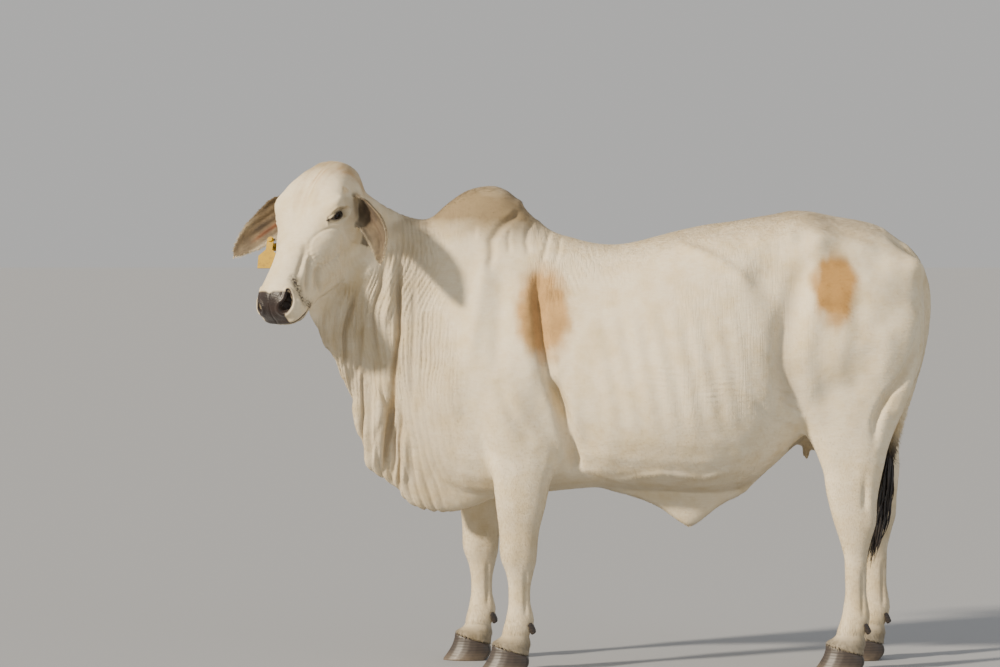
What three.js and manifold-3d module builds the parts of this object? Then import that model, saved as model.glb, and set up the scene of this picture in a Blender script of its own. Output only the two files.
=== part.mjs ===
// A standing Brahman cow at life size, head turned to its left, in millimetres.
// The animal faces -X, its left flank is at -Y and +Z is up. The hooves stand on z = 0.
// Each part of the body is a closed solid. Neighbours meet face to face, GAP apart.
import * as THREE from "three";
import { mergeVertices } from "three/addons/utils/BufferGeometryUtils.js";
import Module from "manifold-3d";

const wasm = await Module();
wasm.setup();

const GAP = 0.35; // the thin cut between two touching parts
const LEFT = -1; // the side towards -Y
const RIGHT = 1;

// Materials

const standard = (color, roughness, metalness = 0) =>
  new THREE.MeshStandardMaterial({ color, roughness, metalness });
const HIDE = standard(0xddd2bd, 0.75);
const GREY_HIDE = standard(0xb9aa98, 0.75);
const HORN = standard(0x3a322c, 0.45);
const EYE = standard(0x16100c, 0.1);
const BLACK_HAIR = standard(0x1d1917, 0.7);
const TAG_PLASTIC = standard(0xf2b80c, 0.4);

// Numbers along a line: a smooth curve through a few known places

function profile(points) {
  const slope = points.map(([x, v], i) => {
    const [x0, v0] = points[Math.max(i - 1, 0)];
    const [x1, v1] = points[Math.min(i + 1, points.length - 1)];
    return (v1 - v0) / (x1 - x0);
  });
  return (x) => {
    const last = points.length - 1;
    if (x <= points[0][0]) return points[0][1];
    if (x >= points[last][0]) return points[last][1];
    const i = points.findIndex(([px]) => px > x) - 1;
    const [x0, v0] = points[i];
    const [x1, v1] = points[i + 1];
    const step = x1 - x0;
    const t = (x - x0) / step;
    const rise = 3 * t * t - 2 * t * t * t;
    const leave = t - 2 * t * t + t * t * t;
    const arrive = t * t * t - t * t;
    return v0 + (v1 - v0) * rise + step * (slope[i] * leave + slope[i + 1] * arrive);
  };
}

const steps = (count, from, to) =>
  Array.from({ length: count + 1 }, (_, i) => from + ((to - from) * i) / count);
const squareness = (v, n) => Math.sign(v) * Math.abs(v) ** (2 / n);
const smooth = (x, from, to) => THREE.MathUtils.smoothstep(x, from, to);
const bell = (distance, reach) => Math.exp(-((distance / reach) ** 2));

// Solids

function solidOf(geometry) {
  const plain = geometry.clone();
  plain.deleteAttribute("normal");
  plain.deleteAttribute("uv");
  const merged = mergeVertices(plain, 1e-3);
  const triVerts = new Uint32Array(merged.index.array);
  const make = () =>
    new wasm.Manifold(
      new wasm.Mesh({
        numProp: 3,
        vertProperties: new Float32Array(merged.attributes.position.array),
        triVerts,
      }),
    );
  const made = make();
  if (made.volume() > 0) return made;
  for (let i = 0; i < triVerts.length; i += 3) {
    [triVerts[i + 1], triVerts[i + 2]] = [triVerts[i + 2], triVerts[i + 1]];
  }
  return make();
}

function geometryOf(solid) {
  const mesh = solid.getMesh();
  const position = new THREE.BufferAttribute(new Float32Array(mesh.vertProperties), 3);
  const geometry = new THREE.BufferGeometry().setAttribute("position", position);
  geometry.setIndex(new THREE.BufferAttribute(new Uint32Array(mesh.triVerts), 1));
  geometry.computeVertexNormals();
  return geometry;
}

// The same solid, every face moved out by a distance
function grown(solid, distance = GAP) {
  const geometry = geometryOf(solid);
  const { position } = geometry.attributes;
  const index = geometry.index.array;
  const corner = (i) => new THREE.Vector3().fromBufferAttribute(position, i);
  const faces = Array.from({ length: position.count }, () => []);
  for (let i = 0; i < index.length; i += 3) {
    const at = [index[i], index[i + 1], index[i + 2]];
    const face = new THREE.Triangle(...at.map(corner));
    if (face.getArea() < 1e-3) continue;
    const out = face.getNormal(new THREE.Vector3());
    for (const v of at) faces[v].push(out);
  }
  faces.forEach((normals, v) => {
    const step = new THREE.Vector3();
    for (let pass = 0; pass < 12; pass++) {
      for (const out of normals) {
        step.addScaledVector(out, Math.max(0, distance - step.dot(out)));
      }
    }
    position.setXYZ(v, ...corner(v).add(step.clampLength(0, 4 * distance)));
  });
  return solidOf(geometry);
}

const largest = (solid) =>
  solid.decompose().reduce((best, body) => (body.volume() > best.volume() ? body : best));
// Cut clear of whole neighbours: their own cuts would leave ragged edges to grow from
const clearOf = (solid, ...neighbours) =>
  largest(neighbours.reduce((left, other) => left.subtract(grown(other)), solid));
const joined = (...solids) => solids.reduce((whole, piece) => whole.add(piece));

// A skin through rings of equal count, closed at both ends
function loft(rings) {
  const sides = rings[0].length;
  const points = rings.flat();
  const index = [];
  for (let i = 0; i + 1 < rings.length; i++) {
    for (let j = 0; j < sides; j++) {
      const a = i * sides + j;
      const b = i * sides + ((j + 1) % sides);
      index.push(a, b, b + sides, a, b + sides, a + sides);
    }
  }
  for (const [start, turn] of [
    [0, 1],
    [(rings.length - 1) * sides, 0],
  ]) {
    const middle = new THREE.Vector3();
    for (let j = 0; j < sides; j++) middle.addScaledVector(points[start + j], 1 / sides);
    points.push(middle);
    for (let j = 0; j < sides; j++) {
      const edge = [start + j, start + ((j + 1) % sides)];
      if (turn) edge.reverse();
      index.push(points.length - 1, ...edge);
    }
  }
  return solidOf(new THREE.BufferGeometry().setFromPoints(points).setIndex(index));
}

// A ring of points, counted from the top round by the left side
function ring(sides, place) {
  return steps(sides - 1, 0, (2 * Math.PI * (sides - 1)) / sides).map((turn) =>
    place(Math.sin(turn), Math.cos(turn)),
  );
}

// Trunk: stations along x, from the base of the neck to the buttocks

const TRUNK_START = -620;
const RUMP_START = 775; // behind it the trunk closes as half an ellipse
const RUMP_REACH = 74;
const TRUNK_SIDES = 30;
const TRUNK_STEP = 54;

const BACK = profile([
  [-620, 1322],
  [-450, 1318],
  [-340, 1308],
  [-237, 1284],
  [-118, 1252],
  [-40, 1252],
  [60, 1276],
  [178, 1305],
  [300, 1322],
  [414, 1343],
  [480, 1351],
  [577, 1333],
  [690, 1316],
  [745, 1284],
  [800, 1240],
]);
const BELLY = profile([
  [-620, 560],
  [-540, 512],
  [-420, 500],
  [-280, 512],
  [-120, 528],
  [60, 520],
  [220, 514],
  [310, 530],
  [380, 575],
  [450, 640],
  [520, 700],
  [600, 738],
  [700, 765],
  [760, 790],
  [800, 830],
]);
const HALF_WIDTH = profile([
  [-620, 160],
  [-540, 196],
  [-420, 222],
  [-300, 238],
  [-150, 270],
  [0, 302],
  [150, 318],
  [290, 306],
  [400, 276],
  [480, 250],
  [600, 240],
  [700, 222],
  [800, 176],
]);
const WIDEST_AT = profile([
  [-620, 900],
  [-400, 870],
  [-150, 850],
  [100, 840],
  [300, 870],
  [450, 960],
  [600, 985],
  [800, 1010],
]);
const UPPER_SHAPE = profile([
  [-620, 2.1],
  [-420, 1.75],
  [-200, 1.85],
  [50, 2.1],
  [300, 2.15],
  [480, 2.3],
  [650, 2.0],
  [800, 1.9],
]);
const LOWER_SHAPE = profile([
  [-620, 2.0],
  [-300, 2.05],
  [100, 2.15],
  [400, 2.1],
  [600, 2.4],
  [800, 2.2],
]);

// Swellings and hollows of both flanks: centre, reach along x and z, and height
const RELIEF = [
  { x: -420, z: 880, reachX: 120, reachZ: 230, height: 20 }, // shoulder and upper arm
  { x: -250, z: 900, reachX: 45, reachZ: 220, height: -12 }, // behind the shoulder
  { x: -560, z: 820, reachX: 55, reachZ: 80, height: 16 }, // point of the shoulder
  { x: 395, z: 1150, reachX: 75, reachZ: 90, height: -24 }, // hollow of the flank
  { x: 500, z: 1275, reachX: 48, reachZ: 46, height: 22 }, // hip bone
  { x: 612, z: 1190, reachX: 60, reachZ: 70, height: -10 }, // between hip and pin bone
  { x: 640, z: 940, reachX: 120, reachZ: 160, height: 18 }, // thigh
  { x: 800, z: 1180, reachX: 40, reachZ: 40, height: 14 }, // pin bone
];

function relieved(x, y, z, level) {
  const out = new THREE.Vector2(y, z - level).normalize();
  let height = 0;
  for (const form of RELIEF) {
    height += form.height * bell(x - form.x, form.reachX) * bell(z - form.z, form.reachZ);
  }
  return new THREE.Vector3(x, y + out.x * height, z + out.y * height);
}

function trunkRing(x, behind = 0) {
  const level = WIDEST_AT(x);
  const close = Math.cos(behind);
  return ring(TRUNK_SIDES, (side, up) => {
    const shape = up > 0 ? UPPER_SHAPE(x) : LOWER_SHAPE(x);
    const height = up > 0 ? BACK(x) - level : level - BELLY(x);
    const y = -HALF_WIDTH(x) * squareness(side, shape) * close;
    const middle = (BACK(x) + BELLY(x)) / 2;
    const z = level + height * squareness(up, shape);
    const point = relieved(x, y, middle + (z - middle) * close, level);
    return point.setX(x + RUMP_REACH * Math.sin(behind));
  });
}

function trunkSolid() {
  const count = Math.round((RUMP_START - TRUNK_START) / TRUNK_STEP);
  const along = steps(count, TRUNK_START + GAP / 2, RUMP_START).map((x) => trunkRing(x));
  const closing = steps(4, 0, 0.45 * Math.PI).slice(1);
  return loft([...along, ...closing.map((turn) => trunkRing(RUMP_START, turn))]);
}

// Hump: leans back over the withers

const HUMP = {
  start: -640,
  end: -215,
  sunk: 120,
  sides: 18,
  top: profile([
    [-640, 1300],
    [-592, 1349],
    [-547, 1388],
    [-503, 1413],
    [-450, 1427],
    [-405, 1424],
    [-368, 1400],
    [-334, 1361],
    [-290, 1318],
    [-215, 1262],
  ]),
  halfWidth: profile([
    [-640, 40],
    [-560, 84],
    [-450, 104],
    [-370, 96],
    [-290, 66],
    [-215, 40],
  ]),
};

function humpSolid() {
  const rings = steps(12, HUMP.start, HUMP.end).map((x) => {
    const top = HUMP.top(x);
    const half = HUMP.halfWidth(x);
    const level = Math.min(BACK(x), top) - HUMP.sunk / 2;
    return ring(HUMP.sides, (side, up) => {
      const spread = 1 + 0.35 * Math.max(0, -up);
      const z = level + (up > 0 ? top - level : HUMP.sunk / 2) * squareness(up, 2.1);
      return new THREE.Vector3(x, -half * spread * squareness(side, 2.2), z);
    });
  });
  return loft(rings);
}

// Head: its own frame, a from the poll down to the muzzle, b to the left, c out of the forehead

const HEAD_TURN = THREE.MathUtils.degToRad(51.5); // from straight ahead to its left
const HEAD_NOD = THREE.MathUtils.degToRad(54); // the face line below the level
const POLL = new THREE.Vector3(-909, -100, 1483);
const HEAD_SIDES = 32;
const ahead = new THREE.Vector3(-Math.cos(HEAD_TURN), -Math.sin(HEAD_TURN), 0);
const AXIS_A = ahead
  .clone()
  .multiplyScalar(Math.cos(HEAD_NOD))
  .setZ(-Math.sin(HEAD_NOD));
const AXIS_B = new THREE.Vector3(Math.sin(HEAD_TURN), -Math.cos(HEAD_TURN), 0);
const AXIS_C = ahead.clone().multiplyScalar(Math.sin(HEAD_NOD)).setZ(Math.cos(HEAD_NOD));
const HEAD_FRAME = new THREE.Matrix4()
  .makeBasis(AXIS_A, AXIS_B, AXIS_C)
  .setPosition(POLL);
const inHead = (a, b, c) => new THREE.Vector3(a, b, c);

const FACE = profile([
  [-40, -70],
  [-30, -34],
  [-8, 2],
  [30, 24],
  [80, 38],
  [130, 41],
  [185, 33],
  [240, 19],
  [300, 9],
  [360, 4],
  [410, 2],
  [440, -2],
  [470, -14],
  [495, -38],
  [506, -60],
]);
const JAW = profile([
  [-40, -100],
  [0, -160],
  [60, -204],
  [130, -230],
  [200, -238],
  [250, -229],
  [300, -208],
  [350, -180],
  [400, -160],
  [440, -150],
  [470, -140],
  [495, -116],
  [506, -94],
]);
const HEAD_HALF = profile([
  [-40, 24],
  [-25, 48],
  [0, 66],
  [25, 80],
  [50, 94],
  [90, 112],
  [140, 123],
  [178, 121],
  [215, 107],
  [255, 91],
  [300, 78],
  [350, 68],
  [400, 67],
  [435, 74],
  [465, 78],
  [490, 68],
  [506, 42],
]);
const HEAD_LEVEL = profile([
  [-40, -85],
  [0, -50],
  [140, -20],
  [220, -50],
  [350, -66],
  [450, -66],
  [506, -78],
]);
const FACE_SHAPE = profile([
  [-40, 2],
  [60, 2.7],
  [160, 3.0],
  [260, 2.4],
  [400, 2.2],
  [506, 2.1],
]);

// The lower half of the head, squarest where the jaw's two branches part
const JAW_SHAPE = profile([
  [-40, 2],
  [120, 2.5],
  [230, 3.1],
  [320, 2.7],
  [420, 2.4],
  [506, 2.1],
]);

const EYE_SPOT = inHead(177, 94, -20);
const EYE_RADIUS = 21;
const LID = { cover: 25.5, long: 1.4, length: 28, rise: 13, droop: 10, tilt: 0.67 };
const MOUTH = { front: 500, corner: 428, level: -103, rise: -19, gap: 4, depth: 12 };

function headRing(a, inset = 0, sides = HEAD_SIDES) {
  const level = HEAD_LEVEL(a);
  return ring(sides, (side, up) => {
    const shape = up > 0 ? FACE_SHAPE(a) : JAW_SHAPE(a);
    const height = up > 0 ? FACE(a) - level : level - JAW(a);
    const b = (HEAD_HALF(a) - inset) * squareness(side, shape);
    const c = level + Math.max(height - inset, 2) * squareness(up, shape);
    const brow = 9 * bell(a - 155, 34) * bell(c - 14, 22);
    const temple = -9 * bell(a - 95, 40) * bell(c + 55, 34);
    const socket = -8 * bell(a - 192, 26) * bell(c + 6, 24);
    const cheek = 10 * bell(a - 225, 60) * bell(c + 125, 50);
    const crest = 5 * bell(a - 265, 40) * bell(c + 62, 16);
    const hollow = -7 * bell(a - 345, 50) * bell(c + 78, 34);
    const out = brow + temple + socket + cheek + crest + hollow;
    return inHead(a, b + Math.sign(b) * out * Math.abs(side), c);
  });
}

const HEAD_STATIONS = [
  ...steps(3, -40, -8),
  ...steps(14, 20, 412),
  ...steps(6, 436, 506),
];

// Both lids: a thin cap over the eyeball with an almond opening, its front corner the lower
function lidsSolid(side) {
  const turned = (geometry) =>
    geometry
      .rotateY(-LID.tilt)
      .translate(EYE_SPOT.x, side * EYE_SPOT.y, EYE_SPOT.z);
  const cap = new THREE.SphereGeometry(LID.cover, 18, 12).scale(LID.long, 1, 1.05);
  const almond = new THREE.Shape();
  almond.moveTo(-LID.length, 0);
  almond.quadraticCurveTo(-4, side * -2 * LID.rise, LID.length, 0);
  almond.quadraticCurveTo(2, side * 2 * LID.droop, -LID.length, 0);
  const cutter = new THREE.ExtrudeGeometry(almond, {
    depth: 60,
    bevelEnabled: false,
    curveSegments: 6,
  });
  cutter.rotateX(side * -Math.PI / 2);
  return solidOf(turned(cap)).subtract(solidOf(turned(cutter)));
}

// Nostrils: a comma, wide at the front and drawn out up and back
const NOSTRIL = {
  path: [
    [484, 47, -45],
    [470, 70, -41],
    [441, 60, -17],
  ],
  wide: 13.5,
  narrow: 7.5,
};

function nostrilSolid(side) {
  const path = new THREE.QuadraticBezierCurve3(
    ...NOSTRIL.path.map(([a, b, c]) => inHead(a, side * b, c)),
  );
  const rings = steps(5, 0, 1).map((t) => {
    const centre = path.getPoint(t);
    const radius = THREE.MathUtils.lerp(NOSTRIL.wide, NOSTRIL.narrow, t);
    return ring(9, (s, c) =>
      inHead(
        centre.x + radius * 0.75 * c,
        centre.y + side * radius * 1.3 * s,
        centre.z + radius * 0.8 * c,
      ),
    );
  });
  return loft(rings);
}

function mouthSolid() {
  const shape = new THREE.Shape();
  const half = MOUTH.gap / 2;
  const corner = MOUTH.level + MOUTH.rise;
  shape.moveTo(MOUTH.front + 30, MOUTH.level + half);
  shape.lineTo(MOUTH.front + 30, MOUTH.level - half);
  shape.quadraticCurveTo(MOUTH.front - 40, MOUTH.level - half, MOUTH.corner, corner);
  shape.quadraticCurveTo(
    MOUTH.front - 40,
    MOUTH.level + half,
    MOUTH.front + 30,
    MOUTH.level + half,
  );
  const width = 200;
  const slab = new THREE.ExtrudeGeometry(shape, {
    depth: width,
    bevelEnabled: false,
    curveSegments: 4,
  });
  // Drawn in x and y, and turned so that its y is c
  slab.rotateX(Math.PI / 2).translate(0, width / 2, 0);
  const core = loft(steps(4, 380, 488).map((a) => headRing(a, MOUTH.depth, 16)));
  return solidOf(slab).subtract(core);
}

const skullSolid = () => loft(HEAD_STATIONS.map((a) => headRing(a)));

function headSolid() {
  let head = skullSolid();
  for (const side of [1, -1]) {
    head = joined(head, earBaseSolid(side), lidsSolid(side));
    head = head.subtract(nostrilSolid(side));
    head = head.subtract(eyeSolid(side, EYE_RADIUS + GAP));
  }
  return largest(head.subtract(mouthSolid()));
}

function eyeSolid(side, radius = EYE_RADIUS) {
  const ball = new THREE.SphereGeometry(radius, 16, 10);
  ball.translate(EYE_SPOT.x, side * EYE_SPOT.y, EYE_SPOT.z);
  return solidOf(ball);
}

// Ears: a long hanging leaf, rolled to a tube at its root and open towards the front

const EAR = {
  length: 318,
  root: inHead(56, 68, -62),
  base: 36,
  forward: 0.34,
  thick: 7,
  arc: 8,
  radius: profile([
    [0, 22],
    [0.14, 29],
    [0.28, 42],
    [0.5, 58],
    [0.74, 51],
    [0.9, 29],
    [1, 7],
  ]),
  // half the angle that the sheet wraps round its axis
  wrap: profile([
    [0, 2.9],
    [0.14, 2.6],
    [0.28, 1.8],
    [0.5, 1.12],
    [0.74, 0.98],
    [1, 1.0],
  ]),
};

// How each ear is carried: the right one is held further out and flatter, the left one curls more
const CARRIAGE = {
  left: { out: 0.66, down: 0.66, sweep: 15, breadth: 0.75, curl: 1.25 },
  right: { out: 0.73, down: 0.59, sweep: 22, breadth: 1.12, curl: 1 },
};
const carriage = (side) => (side > 0 ? CARRIAGE.left : CARRIAGE.right);

function earFrame(side) {
  const { out, down } = carriage(side);
  const toHead = HEAD_FRAME.clone().invert();
  const world = ahead
    .clone()
    .multiplyScalar(EAR.forward)
    .addScaledVector(AXIS_B, side * out)
    .add(new THREE.Vector3(0, 0, -down))
    .normalize();
  const along = world.clone().transformDirection(toHead);
  const back = ahead.clone().multiplyScalar(-1).transformDirection(toHead);
  back.addScaledVector(along, -back.dot(along)).normalize();
  const across = new THREE.Vector3().crossVectors(along, back).multiplyScalar(side);
  return { along, back, across };
}

function earBaseSolid(side) {
  const base = new THREE.SphereGeometry(EAR.base, 16, 10).scale(1.15, 1, 1);
  base.translate(EAR.root.x + 4, side * EAR.root.y, EAR.root.z - 4);
  return solidOf(base);
}

function earSolid(side) {
  const { along, back, across } = earFrame(side);
  const { sweep, breadth, curl } = carriage(side);
  const root = EAR.root.clone();
  root.y *= side;
  const rings = steps(13, 0, 1).map((t) => {
    const radius = EAR.radius(t) * (1 + (breadth - 1) * smooth(t, 0.1, 0.4));
    const wrap = Math.min(EAR.wrap(t) * (1 + (curl - 1) * smooth(t, 0.2, 0.5)), 2.9);
    const centre = root
      .clone()
      .addScaledVector(along, EAR.length * t)
      .addScaledVector(back, 26 * Math.sin(Math.PI * t) - radius * 0.55)
      .addScaledVector(across, sweep * Math.sin(Math.PI * t ** 1.4));
    const arc = (r, from, to) =>
      steps(EAR.arc, from, to).map((turn) =>
        centre
          .clone()
          .addScaledVector(back, r * Math.cos(turn))
          .addScaledVector(across, r * 1.05 * Math.sin(turn)),
      );
    const inner = Math.max(radius - EAR.thick, radius * 0.35);
    return [...arc(radius, -wrap, wrap), ...arc(inner, wrap * 0.96, -wrap * 0.96)];
  });
  return loft(rings);
}

// Neck: from the trunk to the back of the head, turning to the left

const NECK = {
  rings: 15,
  top: new THREE.CatmullRomCurve3([
    new THREE.Vector3(-620, 0, 1322),
    new THREE.Vector3(-690, -14, 1338),
    new THREE.Vector3(-750, -36, 1364),
    new THREE.Vector3(-808, -66, 1402),
    new THREE.Vector3(-880, -100, 1425),
  ]),
  bottom: new THREE.CatmullRomCurve3([
    new THREE.Vector3(-620, 0, 560),
    new THREE.Vector3(-712, -8, 690),
    new THREE.Vector3(-782, -36, 850),
    new THREE.Vector3(-838, -76, 1000),
    new THREE.Vector3(-880, -104, 1130),
  ]),
  half: profile([
    [0, 160],
    [0.25, 138],
    [0.5, 120],
    [0.75, 104],
    [1, 78],
  ]),
  yaw: 0.6,
  folds: 6,
  foldDepth: 7,
};

function neckSolid() {
  const rings = steps(NECK.rings, 0, 1).map((t) => {
    if (t === 0) return trunkRing(TRUNK_START).map((p) => p.setX(p.x - GAP / 2));
    const top = NECK.top.getPoint(t);
    const bottom = NECK.bottom.getPoint(t);
    const up = top.clone().sub(bottom);
    const yaw = NECK.yaw * t ** 1.7;
    const across = new THREE.Vector3(Math.sin(yaw), -Math.cos(yaw), 0);
    const level = THREE.MathUtils.lerp(0.446, 0.5, t);
    const fold = NECK.foldDepth * smooth(t, 0, 0.2) * Math.cos(2 * Math.PI * NECK.folds * t);
    return ring(TRUNK_SIDES, (side, raise) => {
      const height = raise > 0 ? 1 - level : level;
      const half = NECK.half(t) + fold * smooth(-raise, -0.6, 0.3);
      return bottom
        .clone()
        .addScaledVector(up, level + height * squareness(raise, 2.05))
        .addScaledVector(across, half * squareness(side, 2.05));
    });
  });
  return loft(rings);
}

// Dewlap: a hanging double fold of skin from the throat to the brisket, pleated from top to edge

const DEWLAP = {
  front: -966,
  end: -400,
  step: 18,
  edge: profile([
    [-966, 1042],
    [-955, 1014],
    [-941, 986],
    [-931, 955],
    [-893, 900],
    [-867, 825],
    [-845, 800],
    [-835, 750],
    [-826, 685],
    [-815, 620],
    [-797, 588],
    [-762, 554],
    [-720, 524],
    [-697, 488],
    [-668, 467],
    [-621, 454],
    [-557, 450],
    [-480, 466],
    [-400, 505],
  ]),
  top: profile([
    [-966, 1080],
    [-950, 1094],
    [-930, 1108],
    [-880, 1130],
    [-820, 1060],
    [-740, 900],
    [-640, 720],
    [-520, 640],
    [-400, 580],
  ]),
  middle: profile([
    [-966, -172],
    [-946, -152],
    [-900, -112],
    [-850, -72],
    [-750, -26],
    [-650, 0],
    [-400, 0],
  ]),
  thick: profile([
    [-966, 16],
    [-946, 20],
    [-920, 28],
    [-850, 40],
    [-740, 62],
    [-640, 86],
    [-520, 84],
    [-400, 50],
  ]),
  pleat: profile([
    [-966, 0],
    [-946, 2],
    [-900, 5],
    [-840, 9],
    [-700, 12],
    [-600, 6],
    [-400, 0],
  ]),
  pleatEvery: 54,
  sides: 18,
};

function dewlapSolid() {
  const count = Math.round((DEWLAP.end - DEWLAP.front) / DEWLAP.step);
  const rings = steps(count, DEWLAP.front, DEWLAP.end).map((x) => {
    const bottom = DEWLAP.edge(x);
    const height = Math.max(DEWLAP.top(x) - bottom, 20);
    const half = DEWLAP.thick(x) / 2;
    const pleat = DEWLAP.pleat(x) * Math.cos((2 * Math.PI * x) / DEWLAP.pleatEvery);
    return ring(DEWLAP.sides, (side, up) => {
      const down = (1 - up) / 2;
      const widen = 1 + 1.1 * (1 - down) ** 1.5;
      const shift = pleat * smooth(down, 0.2, 0.6);
      const y = DEWLAP.middle(x) - (half * widen + shift) * squareness(side, 3);
      return new THREE.Vector3(x, y, bottom + height * (1 - down));
    });
  });
  return loft(rings);
}

// Legs: level rings from the body down to the hoof, each with its front, rear, middle and half width

const LEG_SIDES = 14;
const FORELEG = {
  shift: { [LEFT]: 0, [RIGHT]: -112 },
  rings: [
    { z: 990, front: -490, rear: -330, y: 132, half: 70 },
    { z: 900, front: -505, rear: -272, y: 146, half: 92 },
    { z: 800, front: -510, rear: -238, y: 152, half: 92 },
    { z: 700, front: -486, rear: -226, y: 156, half: 80 },
    { z: 620, front: -448, rear: -232, y: 159, half: 68 },
    { z: 560, front: -430, rear: -258, y: 162, half: 59 },
    { z: 480, front: -421, rear: -274, y: 163, half: 52 },
    { z: 410, front: -412, rear: -292, y: 160, half: 46 },
    { z: 365, front: -408, rear: -297, y: 159, half: 49 },
    { z: 325, front: -404, rear: -299, y: 158, half: 47 },
    { z: 290, front: -392, rear: -308, y: 157, half: 37 },
    { z: 250, front: -385, rear: -317, y: 156, half: 30 },
    { z: 200, front: -384, rear: -318, y: 155, half: 29 },
    { z: 155, front: -392, rear: -306, y: 155, half: 41 },
    { z: 122, front: -401, rear: -311, y: 155, half: 40 },
    { z: 98, front: -413, rear: -319, y: 155, half: 44 },
  ],
};
const HINDLEG = {
  shift: { [LEFT]: 0, [RIGHT]: 92 },
  rings: [
    { z: 1100, front: 640, rear: 806, y: 108, half: 70 },
    { z: 1050, front: 575, rear: 836, y: 120, half: 98 },
    { z: 985, front: 535, rear: 838, y: 130, half: 112 },
    { z: 910, front: 500, rear: 824, y: 130, half: 106 },
    { z: 830, front: 468, rear: 804, y: 132, half: 96 },
    { z: 760, front: 452, rear: 776, y: 138, half: 82 },
    { z: 700, front: 476, rear: 746, y: 144, half: 68 },
    { z: 640, front: 512, rear: 724, y: 149, half: 57 },
    { z: 580, front: 535, rear: 710, y: 152, half: 48 },
    { z: 520, front: 543, rear: 698, y: 153, half: 42 },
    { z: 465, front: 556, rear: 692, y: 154, half: 40 },
    { z: 425, front: 568, rear: 687, y: 154, half: 43 },
    { z: 385, front: 582, rear: 678, y: 153, half: 41 },
    { z: 335, front: 596, rear: 666, y: 153, half: 30 },
    { z: 230, front: 600, rear: 664, y: 152, half: 28 },
    { z: 160, front: 590, rear: 676, y: 152, half: 41 },
    { z: 124, front: 578, rear: 668, y: 152, half: 40 },
    { z: 98, front: 564, rear: 660, y: 152, half: 44 },
  ],
};

const CORONET = { front: 82, heel: 45, length: 112, half: 50 };
const CLAW = { length: 136, half: 56, cleft: 3.5, toe: 40, levels: 4, heelBulge: 7, heelUndercut: 11 };
const DEWCLAW = { top: 16, bottom: 9, height: 36, behind: 60, apart: 22, level: 127 };

// How far a leg stands from its fellow, growing from the body down
const stride = (leg, side, z) => leg.shift[side] * (1 - smooth(z, 520, 900));

function footPlace(leg, side) {
  const last = leg.rings.at(-1);
  return { x: (last.front + last.rear) / 2 + leg.shift[side] - 12, y: side * last.y };
}

function coronetPlane(x, foot) {
  const share = (x - foot.x) / CORONET.length + 0.5;
  return THREE.MathUtils.lerp(CORONET.front, CORONET.heel, share);
}

function legSolid(leg, side) {
  const foot = footPlace(leg, side);
  const rings = leg.rings.map(({ z, front, rear, y, half }) => {
    const middle = (front + rear) / 2 + stride(leg, side, z);
    return ring(
      LEG_SIDES,
      (across, along) =>
        new THREE.Vector3(
          middle + ((rear - front) / 2) * squareness(along, 2.2),
          side * y + half * squareness(across, 2.2),
          z,
        ),
    );
  });
  rings.push(
    ring(LEG_SIDES, (across, along) => {
      const x = foot.x + (CORONET.length / 2) * squareness(along, 2.3);
      const y = foot.y + CORONET.half * squareness(across, 2.3);
      return new THREE.Vector3(x, y, coronetPlane(x, foot) + GAP);
    }),
  );
  return loft(rings);
}

// A claw: flat sole, sloping toe, inner wall along the cleft
function clawSolid(leg, side, half) {
  const foot = footPlace(leg, side);
  const rings = steps(CLAW.levels, 0, 1).map((t) => {
    const length = THREE.MathUtils.lerp(CLAW.length, CORONET.length, t);
    const width = THREE.MathUtils.lerp(CLAW.half, CORONET.half, t) - CLAW.cleft / 2;
    const heel = CLAW.heelBulge * Math.sin(Math.PI * t) - CLAW.heelUndercut * (1 - t) ** 2;
    const back = foot.x + length / 2 - (CLAW.toe / 2) * (1 - t) * 0.7 + heel;
    const outline = new THREE.Shape();
    outline.moveTo(back - length * 0.06, 0);
    outline.quadraticCurveTo(back, width * 0.3, back - length * 0.07, width * 0.8);
    outline.bezierCurveTo(
      back - length * 0.3,
      width * 1.12,
      back - length * 0.8,
      width * 1.1,
      back - length,
      width * 0.25,
    );
    outline.quadraticCurveTo(back - length, 0, back - length * 0.9, 0);
    outline.closePath();
    const outlinePoints = outline.getSpacedPoints(14).slice(0, 14);
    return outlinePoints.map((p) => {
      const y = foot.y + half * (CLAW.cleft / 2 + p.y);
      return new THREE.Vector3(p.x, y, t * coronetPlane(p.x, foot));
    });
  });
  return loft(rings);
}

function dewclawSolid(leg, side, half) {
  const foot = footPlace(leg, side);
  const cone = new THREE.CylinderGeometry(DEWCLAW.top, DEWCLAW.bottom, DEWCLAW.height, 8);
  cone.rotateX(Math.PI / 2).rotateY(-0.6);
  cone.translate(foot.x + DEWCLAW.behind, foot.y + half * DEWCLAW.apart, DEWCLAW.level);
  return solidOf(cone);
}

// Tail: a tapering cord of flesh from the rump, and a switch of long locks

const TAIL = {
  sides: 10,
  root: 34,
  tip: 12,
  path: new THREE.CatmullRomCurve3([
    new THREE.Vector3(705, 0, 1262),
    new THREE.Vector3(765, 0, 1238),
    new THREE.Vector3(812, 0, 1196),
    new THREE.Vector3(838, 0, 1140),
    new THREE.Vector3(847, 0, 1070),
    new THREE.Vector3(843, 1, 985),
    new THREE.Vector3(832, 2, 915),
    new THREE.Vector3(812, 4, 840),
    new THREE.Vector3(788, 6, 766),
    new THREE.Vector3(762, 8, 690),
    new THREE.Vector3(744, 10, 612),
  ]),
};
const SWITCH = { locks: 13, length: 300, spread: 34, width: 20, seed: 7 };

function tailSolid() {
  const count = 18;
  const frames = TAIL.path.computeFrenetFrames(count, false);
  const rings = steps(count, 0, 1).map((t, i) => {
    const centre = TAIL.path.getPointAt(t);
    const radius = THREE.MathUtils.lerp(TAIL.root, TAIL.tip, t ** 0.6);
    return ring(TAIL.sides, (s, c) =>
      centre
        .clone()
        .addScaledVector(frames.normals[i], radius * c)
        .addScaledVector(frames.binormals[i], radius * s),
    );
  });
  return loft(rings);
}

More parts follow.
